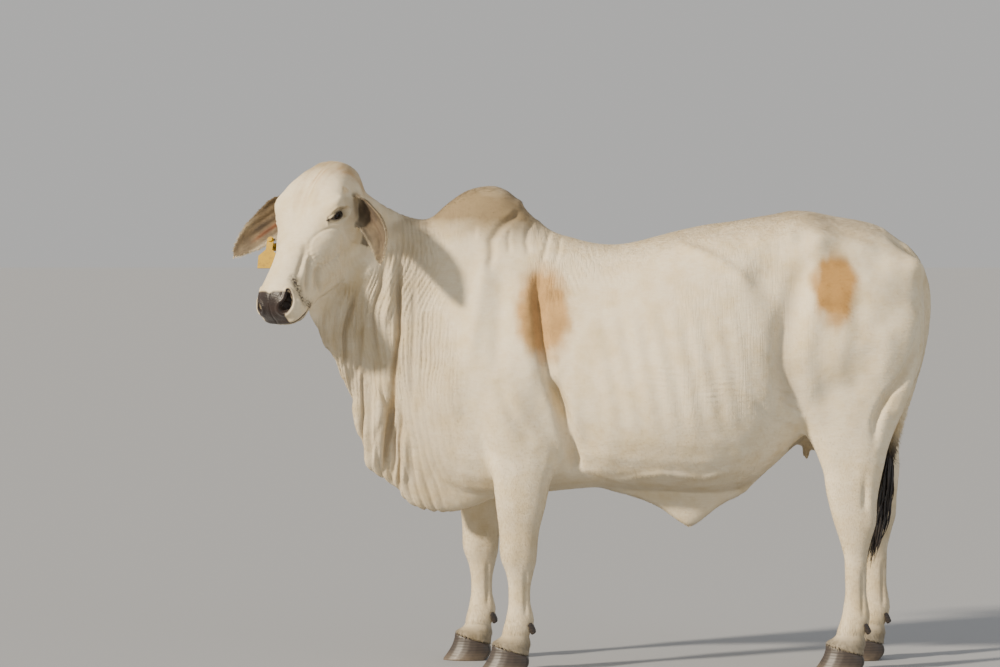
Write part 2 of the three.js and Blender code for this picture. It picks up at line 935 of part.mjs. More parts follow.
// The same draw of numbers in every run
function seeded(seed) {
  let state = seed;
  return () => {
    state = (state * 16807) % 2147483647;
    return state / 2147483647;
  };
}

function lockSolid(root, lean, length, width) {
  const tip = root.clone().addScaledVector(lean, 1).setZ(root.z - length);
  const bend = root.clone().addScaledVector(lean, 0.9).setZ(root.z - length * 0.45);
  const path = new THREE.QuadraticBezierCurve3(root, bend, tip);
  const out = lean.clone().setZ(0).normalize();
  const across = new THREE.Vector3(-out.y, out.x, 0);
  const rings = steps(4, 0, 1).map((t) => {
    const centre = path.getPoint(t);
    const half = width * (t < 1 ? Math.sin(Math.PI * (0.3 + 0.68 * t)) : 0.04);
    return ring(6, (s, c) =>
      centre
        .clone()
        .addScaledVector(across, half * s)
        .addScaledVector(out, half * 0.5 * c),
    );
  });
  return loft(rings);
}

function switchSolid() {
  const random = seeded(SWITCH.seed);
  const start = TAIL.path.getPointAt(1);
  const core = new THREE.CylinderGeometry(TAIL.tip, TAIL.tip * 0.7, 120, 10);
  core.rotateX(-Math.PI / 2).translate(start.x - 2, start.y, start.z - 60 - GAP);
  let whole = solidOf(core);
  for (let i = 0; i < SWITCH.locks; i++) {
    const turn = i * 2.4;
    const down = (i / SWITCH.locks) * 95;
    const reach = SWITCH.spread * (0.45 + 0.6 * random());
    const lean = new THREE.Vector3(Math.cos(turn) * reach, Math.sin(turn) * reach, 0);
    const root = start
      .clone()
      .add(new THREE.Vector3(-2, 0, -14 - down))
      .addScaledVector(lean, 0.2);
    const length = SWITCH.length * (0.72 + 0.35 * random()) - down * 0.3;
    whole = whole.add(lockSolid(root, lean, length, SWITCH.width));
  }
  return largest(whole);
}

// Navel flap: a loose fold under the belly

const FLAP = {
  start: -110,
  end: 405,
  edge: profile([
    [-110, 522],
    [-20, 500],
    [60, 468],
    [120, 424],
    [155, 406],
    [195, 432],
    [250, 476],
    [320, 512],
    [405, 590],
  ]),
  half: profile([
    [-110, 12],
    [60, 24],
    [155, 24],
    [260, 26],
    [405, 14],
  ]),
};

function flapSolid() {
  const rings = steps(20, FLAP.start, FLAP.end).map((x) => {
    const bottom = FLAP.edge(x);
    const height = BELLY(x) + 50 - bottom;
    return ring(12, (side, up) => {
      const down = (1 - up) / 2;
      const half = FLAP.half(x) * (1 + 1.1 * (1 - down));
      return new THREE.Vector3(x, -half * squareness(side, 2.6), bottom + height * (1 - down));
    });
  });
  return loft(rings);
}

// Udder of a dry cow, with four teats

const UDDER = { x: 545, z: 728, reachX: 112, reachY: 78, reachZ: 96, teat: 11, teatLength: 46 };

function udderSolid() {
  const bag = new THREE.SphereGeometry(1, 18, 12);
  bag.scale(UDDER.reachX, UDDER.reachY, UDDER.reachZ).translate(UDDER.x, 0, UDDER.z);
  let whole = solidOf(bag);
  for (const [dx, dy] of [
    [-48, -34],
    [-48, 34],
    [38, -30],
    [38, 30],
  ]) {
    const teat = new THREE.CapsuleGeometry(UDDER.teat, UDDER.teatLength, 3, 8);
    teat.rotateX(Math.PI / 2).translate(UDDER.x + dx, dy, UDDER.z - 84);
    whole = whole.add(solidOf(teat));
  }
  return whole;
}

// Ear tag: a bottle-shaped plate hung on a pin through the right ear

const TAG = {
  width: 57,
  body: 56,
  neck: 20,
  neckLength: 36,
  thick: 2.4,
  pin: 3,
  pinLength: 50,
  button: 13,
  place: 0.62,
  lower: 26,
  stand: 27,
  lean: -0.42,
  turn: -0.25,
};

function tagPlace() {
  const { along, back, across } = earFrame(-1);
  const root = EAR.root.clone();
  root.y *= -1;
  const onEar = root
    .addScaledVector(along, EAR.length * TAG.place)
    .addScaledVector(back, 26 + EAR.radius(TAG.place) * 0.45 - EAR.thick - TAG.stand)
    .addScaledVector(across, -TAG.lower);
  return onEar.applyMatrix4(HEAD_FRAME);
}

function tagSolid() {
  const half = TAG.width / 2;
  const neck = TAG.neck / 2;
  const shape = new THREE.Shape();
  shape.moveTo(-half, -TAG.neckLength - TAG.body);
  shape.lineTo(half, -TAG.neckLength - TAG.body);
  shape.lineTo(half + 2, -TAG.neckLength - 16);
  shape.lineTo(neck, -TAG.neckLength + 4);
  shape.lineTo(neck, 0);
  shape.absarc(0, 0, neck, 0, Math.PI, false);
  shape.lineTo(-neck, -TAG.neckLength + 4);
  shape.lineTo(-half - 2, -TAG.neckLength - 16);
  shape.closePath();
  const plate = new THREE.ExtrudeGeometry(shape, {
    depth: TAG.thick,
    bevelEnabled: false,
    curveSegments: 10,
  });
  const boss = new THREE.CylinderGeometry(7, 8, 5, 16).rotateX(Math.PI / 2);
  boss.translate(0, 0, TAG.thick + 2);
  const pin = new THREE.CylinderGeometry(TAG.pin, TAG.pin, TAG.pinLength, 10);
  pin.rotateX(Math.PI / 2).translate(0, 0, -TAG.pinLength / 2 + 1);
  return joined(solidOf(plate), solidOf(boss), solidOf(pin));
}

function buttonSolid() {
  const button = new THREE.CylinderGeometry(TAG.button, TAG.button, 3, 16);
  button.rotateX(Math.PI / 2).translate(0, 0, -TAG.pinLength - 0.8);
  return solidOf(button);
}

// Assembly

const model = new THREE.Group();

function addNode(name, solid, material, frame) {
  const mesh = new THREE.Mesh(geometryOf(solid), material);
  mesh.name = name;
  if (frame) mesh.applyMatrix4(frame);
  model.add(mesh);
}

const placed = (solid, frame) => {
  const geometry = geometryOf(solid).applyMatrix4(frame);
  return solidOf(geometry);
};

const sideNames = [
  [LEFT, "left"],
  [RIGHT, "right"],
];
const trunk = trunkSolid();
const wholeNeck = neckSolid();
const tagFrame = new THREE.Matrix4()
  .makeRotationFromEuler(new THREE.Euler(Math.PI / 2 + TAG.lean, 0, TAG.turn, "ZXY"))
  .setPosition(tagPlace());
const tag = placed(tagSolid(), tagFrame);
const button = placed(buttonSolid(), tagFrame);
const skull = placed(skullSolid(), HEAD_FRAME);
const earBases = sideNames.map(([side]) => placed(earBaseSolid(-side), HEAD_FRAME));
const headForms = [skull, ...earBases];

addNode("trunk", trunk, HIDE);
addNode("hump", clearOf(humpSolid(), trunk, wholeNeck), GREY_HIDE);
addNode("neck", clearOf(wholeNeck, ...headForms), HIDE);
addNode("head", placed(headSolid(), HEAD_FRAME), HIDE);
const wholeLegs = [];
for (const [side, sideName] of sideNames) {
  addNode(`eye_${sideName}`, eyeSolid(-side), EYE, HEAD_FRAME);
  const ear = placed(earSolid(-side), HEAD_FRAME);
  addNode(`ear_${sideName}`, clearOf(ear, ...headForms, wholeNeck, tag, button), GREY_HIDE);
  for (const [leg, place] of [
    [FORELEG, "fore"],
    [HINDLEG, "hind"],
  ]) {
    const limb = legSolid(leg, side);
    wholeLegs.push(limb);
    addNode(`${place}leg_${sideName}`, clearOf(limb, trunk), HIDE);
    for (const [half, claw] of [
      [side, "outer"],
      [-side, "inner"],
    ]) {
      addNode(`claw_${place}_${sideName}_${claw}`, clawSolid(leg, side, half), HORN);
      const dewclaw = clearOf(dewclawSolid(leg, side, half), limb);
      addNode(`dewclaw_${place}_${sideName}_${claw}`, dewclaw, HORN);
    }
  }
}
addNode("dewlap", clearOf(dewlapSolid(), wholeNeck, trunk, skull, ...wholeLegs), HIDE);
const flap = flapSolid();
addNode("navel_flap", clearOf(flap, trunk), HIDE);
addNode("udder", clearOf(udderSolid(), trunk, flap, ...wholeLegs), HIDE);
const tail = tailSolid();
addNode("tail", clearOf(tail, trunk, ...wholeLegs), HIDE);
addNode("tail_switch", clearOf(switchSolid(), tail, ...wholeLegs), BLACK_HAIR);
addNode("ear_tag", tag, TAG_PLASTIC);
addNode("ear_tag_button", button, TAG_PLASTIC);

// The origin: on the floor, under the middle of the whole
const bounds = new THREE.Box3().setFromObject(model);
const middle = bounds.getCenter(new THREE.Vector3());
model.position.set(-middle.x, -middle.y, -bounds.min.z);

export default model;
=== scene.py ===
"""A standing Brahman cow at life size: skin, coat, eyes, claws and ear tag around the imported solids.

All lengths are in metres. Body coordinates have x from the chest towards the tail, y towards the animal's
right and z up from the floor. Head coordinates run a from the poll down the face, b towards the animal's
left and c out of the forehead.
"""

from __future__ import annotations

import logging
import math
from dataclasses import dataclass, field
from enum import Enum

import bmesh
import bpy
import numpy as np
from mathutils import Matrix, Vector


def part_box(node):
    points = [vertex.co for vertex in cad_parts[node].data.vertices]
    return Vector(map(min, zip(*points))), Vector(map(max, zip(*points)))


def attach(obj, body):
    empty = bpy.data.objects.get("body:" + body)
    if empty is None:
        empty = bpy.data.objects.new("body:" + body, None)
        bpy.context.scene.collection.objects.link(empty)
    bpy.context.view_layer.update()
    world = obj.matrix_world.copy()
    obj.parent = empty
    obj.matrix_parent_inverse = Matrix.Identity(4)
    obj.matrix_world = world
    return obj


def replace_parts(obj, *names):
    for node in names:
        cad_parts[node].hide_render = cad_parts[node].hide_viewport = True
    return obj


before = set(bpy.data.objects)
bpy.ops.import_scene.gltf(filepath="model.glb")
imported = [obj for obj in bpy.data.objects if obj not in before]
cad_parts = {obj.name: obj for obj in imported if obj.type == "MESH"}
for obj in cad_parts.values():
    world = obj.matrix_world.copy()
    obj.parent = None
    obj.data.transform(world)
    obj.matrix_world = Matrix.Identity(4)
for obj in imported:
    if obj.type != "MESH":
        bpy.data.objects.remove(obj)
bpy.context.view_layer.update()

log = logging.getLogger("brahman")
Array = np.ndarray
Path2 = tuple[tuple[float, float], ...]


class Side(Enum):
    """The two sides of the animal, with the sign of b on each."""

    LEFT = 1
    RIGHT = -1

    @property
    def word(self) -> str:
        """The side's name, as the solids' names have it."""
        return self.name.lower()


class Slot(Enum):
    """The record's material slots."""

    HIDE = "hide"
    LONG_HAIR = "long_hair"
    HORN = "horn"
    EYE = "eye"
    TAG = "tag_plastic"


class Mark(Enum):
    """The markings, each a weight at every point of skin and coat. Some are painted light, not the coat's own
    colour: the crease mark is painted shade in folds and creases, the glow mark is painted sunlight shining
    through the far ear, the bare-skin mark also paints shade under the belly, and the dark mark also paints
    shade along the mouth and in the ears' hollows.
    """

    GREY = "mark_grey"
    TAN = "mark_tan"
    NOSE = "mark_nose"
    DARK = "mark_dark"
    BARE = "mark_bare"
    RUST = "mark_rust"
    CREASE = "mark_crease"
    WRINKLE = "mark_wrinkle"


# Arithmetic on arrays


def step(values: Array, low: float, high: float) -> Array:
    """Rises smoothly from 0 at low to 1 at high.

    Args:
        values: the numbers to look up.
        low: where the rise starts.
        high: where it ends; below low the curve falls instead.

    Returns:
        One share from 0 to 1 for each value.
    """
    share = np.clip((values - low) / (high - low), 0.0, 1.0)
    return share * share * (3.0 - 2.0 * share)


def bell(values: Array, reach: float) -> Array:
    """A bell curve, 1 at zero and 0.37 at reach."""
    return np.exp(-((values / reach) ** 2))


def unit(vectors: Array) -> Array:
    """The vectors at length 1."""
    return vectors / np.maximum(np.linalg.norm(vectors, axis=-1, keepdims=True), 1e-12)


def to_path(x: Array, z: Array, path: Path2) -> tuple[Array, Array]:
    """The distance of points from a line of straight stretches.

    Args:
        x: first coordinates.
        z: second coordinates.
        path: the line's corners.

    Returns:
        The distances, and how far along the line each nearest place is, from 0 to 1.
    """
    best = np.full(x.shape, 1e9)
    along = np.zeros(x.shape)
    for i in range(len(path) - 1):
        (x0, z0), (x1, z1) = path[i], path[i + 1]
        dx, dz = x1 - x0, z1 - z0
        share = np.clip(((x - x0) * dx + (z - z0) * dz) / (dx * dx + dz * dz), 0.0, 1.0)
        gap = np.hypot(x - x0 - share * dx, z - z0 - share * dz)
        closer = gap < best
        best = np.where(closer, gap, best)
        along = np.where(closer, (i + share) / (len(path) - 1), along)
    return best, along


@dataclass(frozen=True)
class Noise:
    """Smooth random hills, the same in every run."""

    seed: int
    cells: int = 24

    def at(self, points: Array, size: float | tuple[float, float, float]) -> Array:
        """The noise at points.

        Args:
            points: places, one row each.
            size: the width of one hill, or its width along each axis.

        Returns:
            One number from -1 to 1 for each point.
        """
        grid = np.random.default_rng(self.seed).random((self.cells,) * 3) * 2.0 - 1.0
        place = points / np.array(size) + 100.0
        low = np.floor(place).astype(int)
        part = place - low
        part = part * part * (3.0 - 2.0 * part)
        total = np.zeros(len(points))
        for i in (0, 1):
            for j in (0, 1):
                for k in (0, 1):
                    share = (
                        np.abs(1 - i - part[:, 0]) * np.abs(1 - j - part[:, 1]) * np.abs(1 - k - part[:, 2])
                    )
                    at = (low + (i, j, k)) % self.cells
                    total += share * grid[at[:, 0], at[:, 1], at[:, 2]]
        return total


# Meshes as arrays


def points_of(mesh: bpy.types.Mesh) -> Array:
    """The places of a mesh's vertices.

    Args:
        mesh: the mesh.

    Returns:
        One row of x, y and z for each vertex.
    """
    found = np.empty(len(mesh.vertices) * 3, np.float32)
    mesh.vertices.foreach_get("co", found)
    return found.reshape(-1, 3).astype(float)


def set_points(mesh: bpy.types.Mesh, points: Array) -> None:
    """Moves a mesh's vertices to new places."""
    mesh.vertices.foreach_set("co", points.astype(np.float32).ravel())
    mesh.update()


def normals_of(mesh: bpy.types.Mesh) -> Array:
    """The outward direction at each vertex.

    Args:
        mesh: the mesh.

    Returns:
        One unit row for each vertex.
    """
    found = np.empty(len(mesh.vertices) * 3, np.float32)
    mesh.vertex_normals.foreach_get("vector", found)
    return found.reshape(-1, 3).astype(float)


def edges_of(mesh: bpy.types.Mesh) -> Array:
    """The vertex pairs of a mesh's edges.

    Args:
        mesh: the mesh.

    Returns:
        One row of two vertex numbers for each edge.
    """
    found = np.empty(len(mesh.edges) * 2, np.int32)
    mesh.edges.foreach_get("vertices", found)
    return found.reshape(-1, 2)


def relax(points: Array, edges: Array, share: Array, passes: int) -> Array:
    """Smooths points towards the middle of their neighbours.

    Args:
        points: the places to start from.
        edges: pairs of neighbours.
        share: how far each point moves in one pass.
        passes: how many times all points move.

    Returns:
        The smoothed places.
    """
    count = len(points)
    first, second = edges[:, 0], edges[:, 1]
    near = np.maximum(np.bincount(edges.ravel(), minlength=count), 1)[:, None]
    for _ in range(passes):
        total = np.stack(
            [
                np.bincount(first, points[second, k], count) + np.bincount(second, points[first, k], count)
                for k in range(3)
            ],
            axis=1,
        )
        points = points + share[:, None] * (total / near - points)
    return points


def largest_piece(mesh: bpy.types.Mesh) -> None:
    """Deletes all but the largest connected surface of a mesh.

    Args:
        mesh: the mesh, which is changed.
    """
    edges = edges_of(mesh)
    label = np.arange(len(mesh.vertices))
    while True:
        low = np.minimum(label[edges[:, 0]], label[edges[:, 1]])
        new = label.copy()
        np.minimum.at(new, edges[:, 0], low)
        np.minimum.at(new, edges[:, 1], low)
        new = new[new]
        if np.array_equal(new, label):
            break
        label = new
    keep = np.bincount(label).argmax()
    loose = np.flatnonzero(label != keep)
    if len(loose):
        work = bmesh.new()
        work.from_mesh(mesh)
        work.verts.ensure_lookup_table()
        bmesh.ops.delete(work, geom=[work.verts[i] for i in loose], context="VERTS")
        work.to_mesh(mesh)
        work.free()


def new_object(name: str, mesh: bpy.types.Mesh, material: bpy.types.Material) -> bpy.types.Object:
    """Puts a mesh in the scene as a piece that rides on the body.

    Args:
        name: the piece's name.
        mesh: its shape.
        material: its finish.

    Returns:
        The new object.
    """
    piece = bpy.data.objects.new(name, mesh)
    bpy.context.scene.collection.objects.link(piece)
    mesh.materials.clear()
    mesh.materials.append(material)
    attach(piece, "root")
    log.info("%s: %d faces", name, len(mesh.polygons))
    return piece


def mesh_from(name: str, points: Array, faces: list[Array]) -> bpy.types.Mesh:
    """A mesh from points and arrays of faces, each array with one count of corners.

    Args:
        name: the mesh's name.
        points: the places of its vertices.
        faces: arrays of vertex numbers, one row for each face.

    Returns:
        The mesh, smooth shaded.
    """
    mesh = bpy.data.meshes.new(name)
    corners = np.concatenate([f.ravel() for f in faces])
    sizes = np.concatenate([np.full(len(f), f.shape[1]) for f in faces])
    mesh.vertices.add(len(points))
    mesh.vertices.foreach_set("co", points.astype(np.float32).ravel())
    mesh.loops.add(len(corners))
    mesh.loops.foreach_set("vertex_index", corners.astype(np.int32))
    mesh.polygons.add(len(sizes))
    mesh.polygons.foreach_set("loop_start", np.concatenate([[0], np.cumsum(sizes)[:-1]]).astype(np.int32))
    mesh.update(calc_edges=True)
    mesh.shade_smooth()
    return mesh


def set_marks(mesh: bpy.types.Mesh, marks: dict[Mark, Array]) -> None:
    """Stores the markings' weights on a mesh's vertices.

    Args:
        mesh: the mesh.
        marks: the weights of each marking.
    """
    for mark, weight in marks.items():
        layer = mesh.attributes.get(mark.value) or mesh.attributes.new(mark.value, "FLOAT", "POINT")
        layer.data.foreach_set("value", weight.astype(np.float32))


# Frames of reference


@dataclass(frozen=True)
class BodyFrame:
    """Body coordinates, found from the trunk's solid: it starts at TRUNK_START and is alike on both sides."""

    trunk_start: float = -0.61983

    @property
    def shift(self) -> Array:
        """What is added to body coordinates to get the scene's."""
        low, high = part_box("trunk")
        return np.array([low.x - self.trunk_start, (low.y + high.y) / 2.0, 0.0])


SHIFT = BodyFrame().shift


@dataclass(frozen=True)
class HeadFrame:
    """Where the head is and which way it looks."""

    poll: tuple[float, float, float] = (-0.909, -0.100, 1.483)
    turn: float = math.radians(51.5)
    nod: float = math.radians(54.0)

    @property
    def axes(self) -> Array:
        """The directions of a, b and c.

        Returns:
            Unit rows in body coordinates.
        """
        ahead = np.array([-math.cos(self.turn), -math.sin(self.turn), 0.0])
        up = np.array([0.0, 0.0, 1.0])
        return np.array(
            [
                ahead * math.cos(self.nod) - up * math.sin(self.nod),
                [math.sin(self.turn), -math.cos(self.turn), 0.0],
                ahead * math.sin(self.nod) + up * math.cos(self.nod),
            ]
        )

    @property
    def ahead(self) -> Array:
        """The level direction that the head faces."""
        return np.array([-math.cos(self.turn), -math.sin(self.turn), 0.0])

    def local(self, body: Array) -> Array:
        """Head coordinates of points in body coordinates."""
        return (body - np.array(self.poll)) @ self.axes.T

    def body(self, local: Array) -> Array:
        """Body coordinates of points in head coordinates."""
        return local @ self.axes + np.array(self.poll)


HEAD = HeadFrame()


@dataclass(frozen=True)
class EarLine:
    """The line of one ear from root to tip, in body coordinates."""

    side: Side
    out: float
    down: float
    sweep: float
    length: float = 0.318
    root: tuple[float, float, float] = (0.056, 0.068, -0.062)
    forward: float = 0.34
    reach: float = 0.085  # half the ear's width with some room beside it

    @property
    def start(self) -> Array:
        """The root."""
        a, b, c = self.root
        return HEAD.body(np.array([[a, self.side.value * b, c]]))[0]

    @property
    def along(self) -> Array:
        """The direction from root to tip."""
        lateral = HEAD.axes[1] * self.side.value
        return unit(HEAD.ahead * self.forward + lateral * self.out - np.array([0.0, 0.0, self.down]))

    @property
    def back(self) -> Array:
        """The direction that the back of the ear faces."""
        back = -HEAD.ahead
        return unit(back - (back @ self.along) * self.along)

    @property
    def across(self) -> Array:
        """From one edge of the ear to the other."""
        return np.cross(self.along, self.back) * self.side.value

    def place(self, body: Array) -> tuple[Array, Array, Array]:
        """Where points lie along and beside the ear's line.

        Args:
            body: points in body coordinates.

        Returns:
            How far down the ear each is, from 0 to 1, and how far back and across of its line.
        """
        offset = body - self.start
        share = offset @ self.along / self.length
        inside = np.clip(share, 0.0, 1.0)
        bow = 0.026 * np.sin(np.pi * inside)
        sweep = self.sweep * np.sin(np.pi * inside**1.4)
        return share, offset @ self.back - bow, offset @ self.across - sweep


EARS = {
    Side.LEFT: EarLine(Side.LEFT, out=0.66, down=0.66, sweep=0.015),
    Side.RIGHT: EarLine(Side.RIGHT, out=0.73, down=0.59, sweep=0.022),
}


# Forms that the skin adds to the solids, as heights above their surface


@dataclass(frozen=True)
class Line:
    """A groove or ridge on both flanks along a path in x and z."""

    path: Path2
    height: float
    reach: float
    fade: float = 0.25

    def at(self, x: Array, z: Array) -> Array:
        """The form's height at places on the flank.

        Args:
            x: places along the body.
            z: places above the ground.

        Returns:
            Heights, negative in a groove.
        """
        gap, along = to_path(x, z, self.path)
        ends = step(along, -0.01, self.fade) * step(along, 1.01, 1.0 - self.fade)
        return self.height * bell(gap, self.reach) * ends


@dataclass(frozen=True)
class Swelling:
    """A rounded form on both flanks."""

    x: float
    z: float
    reach_x: float
    reach_z: float
    height: float

    def at(self, x: Array, z: Array) -> Array:
        """The form's height at places on the flank.

        Args:
            x: places along the body.
            z: places above the ground.

        Returns:
            Heights, negative in a groove.
        """
        return self.height * bell(x - self.x, self.reach_x) * bell(z - self.z, self.reach_z)


@dataclass(frozen=True)
class TrunkForms:
    """Muscle, bone and creases of the trunk, shoulders and thighs."""

    lines: tuple[Line, ...] = (
        Line(((-0.292, 1.20), (-0.300, 1.10), (-0.287, 0.97), (-0.263, 0.85), (-0.235, 0.77), (-0.224, 0.66)),
             -0.021, 0.016),
        Line(((-0.258, 0.87), (-0.228, 0.76), (-0.205, 0.66), (-0.180, 0.57)), -0.026, 0.019, 0.15),
        Line(((-0.335, 1.18), (-0.332, 0.98), (-0.305, 0.80)), 0.010, 0.030),
        Line(((-0.440, 1.25), (-0.470, 1.08), (-0.505, 0.88)), 0.007, 0.024),
        Line(((-0.400, 1.20), (-0.412, 1.02), (-0.415, 0.86)), -0.007, 0.026),
        Line(((-0.545, 0.78), (-0.470, 0.70), (-0.420, 0.60)), -0.008, 0.020),
        Line(((-0.420, 0.86), (-0.370, 0.74), (-0.300, 0.66)), -0.006, 0.020),
        Line(((0.492, 1.22), (0.450, 1.133), (0.430, 1.032), (0.407, 0.917), (0.428, 0.815), (0.459, 0.743)),
             -0.022, 0.036, 0.18),
        Line(((0.530, 1.20), (0.500, 1.06), (0.482, 0.95), (0.490, 0.85), (0.510, 0.77)), 0.008, 0.036),
        Line(((0.300, 1.190), (0.372, 1.120), (0.405, 1.030), (0.385, 0.930)), -0.008, 0.036),
        Line(((0.655, 0.960), (0.628, 0.880), (0.612, 0.800)), -0.005, 0.030),
        Line(((0.700, 1.020), (0.716, 0.930), (0.690, 0.840)), 0.005, 0.030),
        Line(((0.826, 1.060), (0.810, 0.960), (0.792, 0.915), (0.759, 0.856), (0.722, 0.812), (0.696, 0.767),
              (0.684, 0.735), (0.680, 0.650)), -0.017, 0.013, 0.18),
        Line(((0.800, 0.870), (0.770, 0.800), (0.735, 0.740)), 0.007, 0.018),
        Line(((0.640, 1.130), (0.622, 0.98), (0.590, 0.84)), -0.006, 0.028),
        Line(((0.500, 1.275), (0.590, 1.255), (0.700, 1.215), (0.800, 1.175)), 0.009, 0.024),
        Line(((0.400, 0.802), (0.432, 0.772), (0.475, 0.752)), -0.007, 0.007),
        Line(((0.375, 0.836), (0.418, 0.812), (0.452, 0.800)), -0.005, 0.006),
        Line(((0.455, 0.700), (0.385, 0.735), (0.320, 0.800)), -0.006, 0.012),
        Line(
            ((-0.180, 0.590), (-0.060, 0.560), (0.060, 0.582), (0.180, 0.566), (0.300, 0.602)),
            0.005,
            0.009,
        ),
        Line(((0.080, 1.265), (0.220, 1.200), (0.340, 1.120)), 0.008, 0.018),
        Line(((0.300, 1.245), (0.400, 1.262), (0.470, 1.270)), 0.006, 0.020),
    )
    swellings: tuple[Swelling, ...] = (
        Swelling(-0.380, 0.760, 0.065, 0.100, 0.012),
        Swelling(-0.560, 0.830, 0.040, 0.050, 0.007),
        Swelling(0.515, 1.255, 0.034, 0.036, 0.014),
        Swelling(0.800, 1.185, 0.028, 0.030, 0.010),
        Swelling(0.500, 0.770, 0.045, 0.055, 0.013),
        Swelling(0.390, 1.175, 0.066, 0.060, -0.016),
        Swelling(0.690, 1.200, 0.050, 0.035, -0.010),
        Swelling(-0.170, 0.660, 0.050, 0.090, -0.018),
        Swelling(0.060, 0.820, 0.160, 0.120, 0.008),
        Swelling(-0.360, 0.960, 0.050, 0.110, 0.006),
        Swelling(0.590, 0.900, 0.060, 0.110, 0.008),
    )
    rib_gap: float = 0.058
    rib_height: float = 0.0015
    wrinkle: float = 0.0007

    def shade(self, body: Array, flank: Array) -> Array:
        """The weight of painted shade in the main creases, from 0 to 1, by how deep points lie in them."""
        deep = sum(line.at(body[:, 0], body[:, 2]) for line in self.lines if line.height < -0.015)
        return np.clip(-deep / 0.022, 0.0, 1.0) ** 2 * 0.55 * flank

    def rump(self, body: Array, normal: Array) -> Array:
        """Pin bones, the hollows beside the tail and the cleft of the buttocks, on what faces back.

        Args:
            body: points in body coordinates.
            normal: outward directions.

        Returns:
            Heights above the solids' surface.
        """
        x, wide, z = body[:, 0], np.abs(body[:, 1]), body[:, 2]
        cleft = -0.024 * bell(wide - 0.043, 0.011) * step(z, 0.66, 0.80) * step(z, 1.27, 1.20)
        pins = 0.020 * np.exp(-(((wide - 0.105) / 0.034) ** 2) - ((z - 1.170) / 0.036) ** 2)
        hollow = -0.010 * np.exp(-(((wide - 0.062) / 0.026) ** 2) - ((z - 1.235) / 0.040) ** 2)
        seam = -0.007 * bell(wide - 0.150 - 0.10 * (z - 0.95), 0.014)
        seam = seam * step(z, 0.74, 0.86) * step(z, 1.14, 1.02)
        return (cleft + pins + hollow + seam) * step(x, 0.62, 0.72) * step(normal[:, 0], 0.05, 0.45)

    def height(self, body: Array, flank: Array) -> Array:
        """The forms' height.

        Args:
            body: points in body coordinates.
            flank: how much each point faces sideways.

        Returns:
            Heights above the solids' surface.
        """
        x, z = body[:, 0], body[:, 2]
        total = sum(form.at(x, z) for form in (*self.lines, *self.swellings))
        lean = x + 0.20 * (z - 0.9)
        ribs = np.cos(2.0 * np.pi * lean / self.rib_gap) * self.rib_height
        ribs = ribs * step(x, -0.20, -0.05) * step(x, 0.36, 0.22) * step(z, 0.66, 0.78) * step(z, 1.12, 0.98)
        warp = Noise(13).at(body, 0.12) * 0.6
        level = np.cos(2.0 * np.pi * (z / 0.017 + warp)) * self.wrinkle
        level = level * step(x, -0.02, 0.08) * step(x, 0.34, 0.26) * step(z, 0.76, 0.82) * step(z, 0.94, 0.88)
        upright = np.cos(2.0 * np.pi * ((x + 0.35 * (z - 1.2)) / 0.018 + warp)) * self.wrinkle
        upright = upright * step(x, -0.33, -0.27) * step(x, -0.02, -0.16) * step(z, 1.04, 1.14)
        skin = Noise(11).at(body, (0.05, 0.05, 0.09)) * 0.0012 + Noise(12).at(body, 0.020) * 0.0004
        gate = np.clip(0.4 + Noise(14).at(body, 0.05), 0.0, 1.0)
        return (total + ribs + (level + upright) * gate) * flank + skin


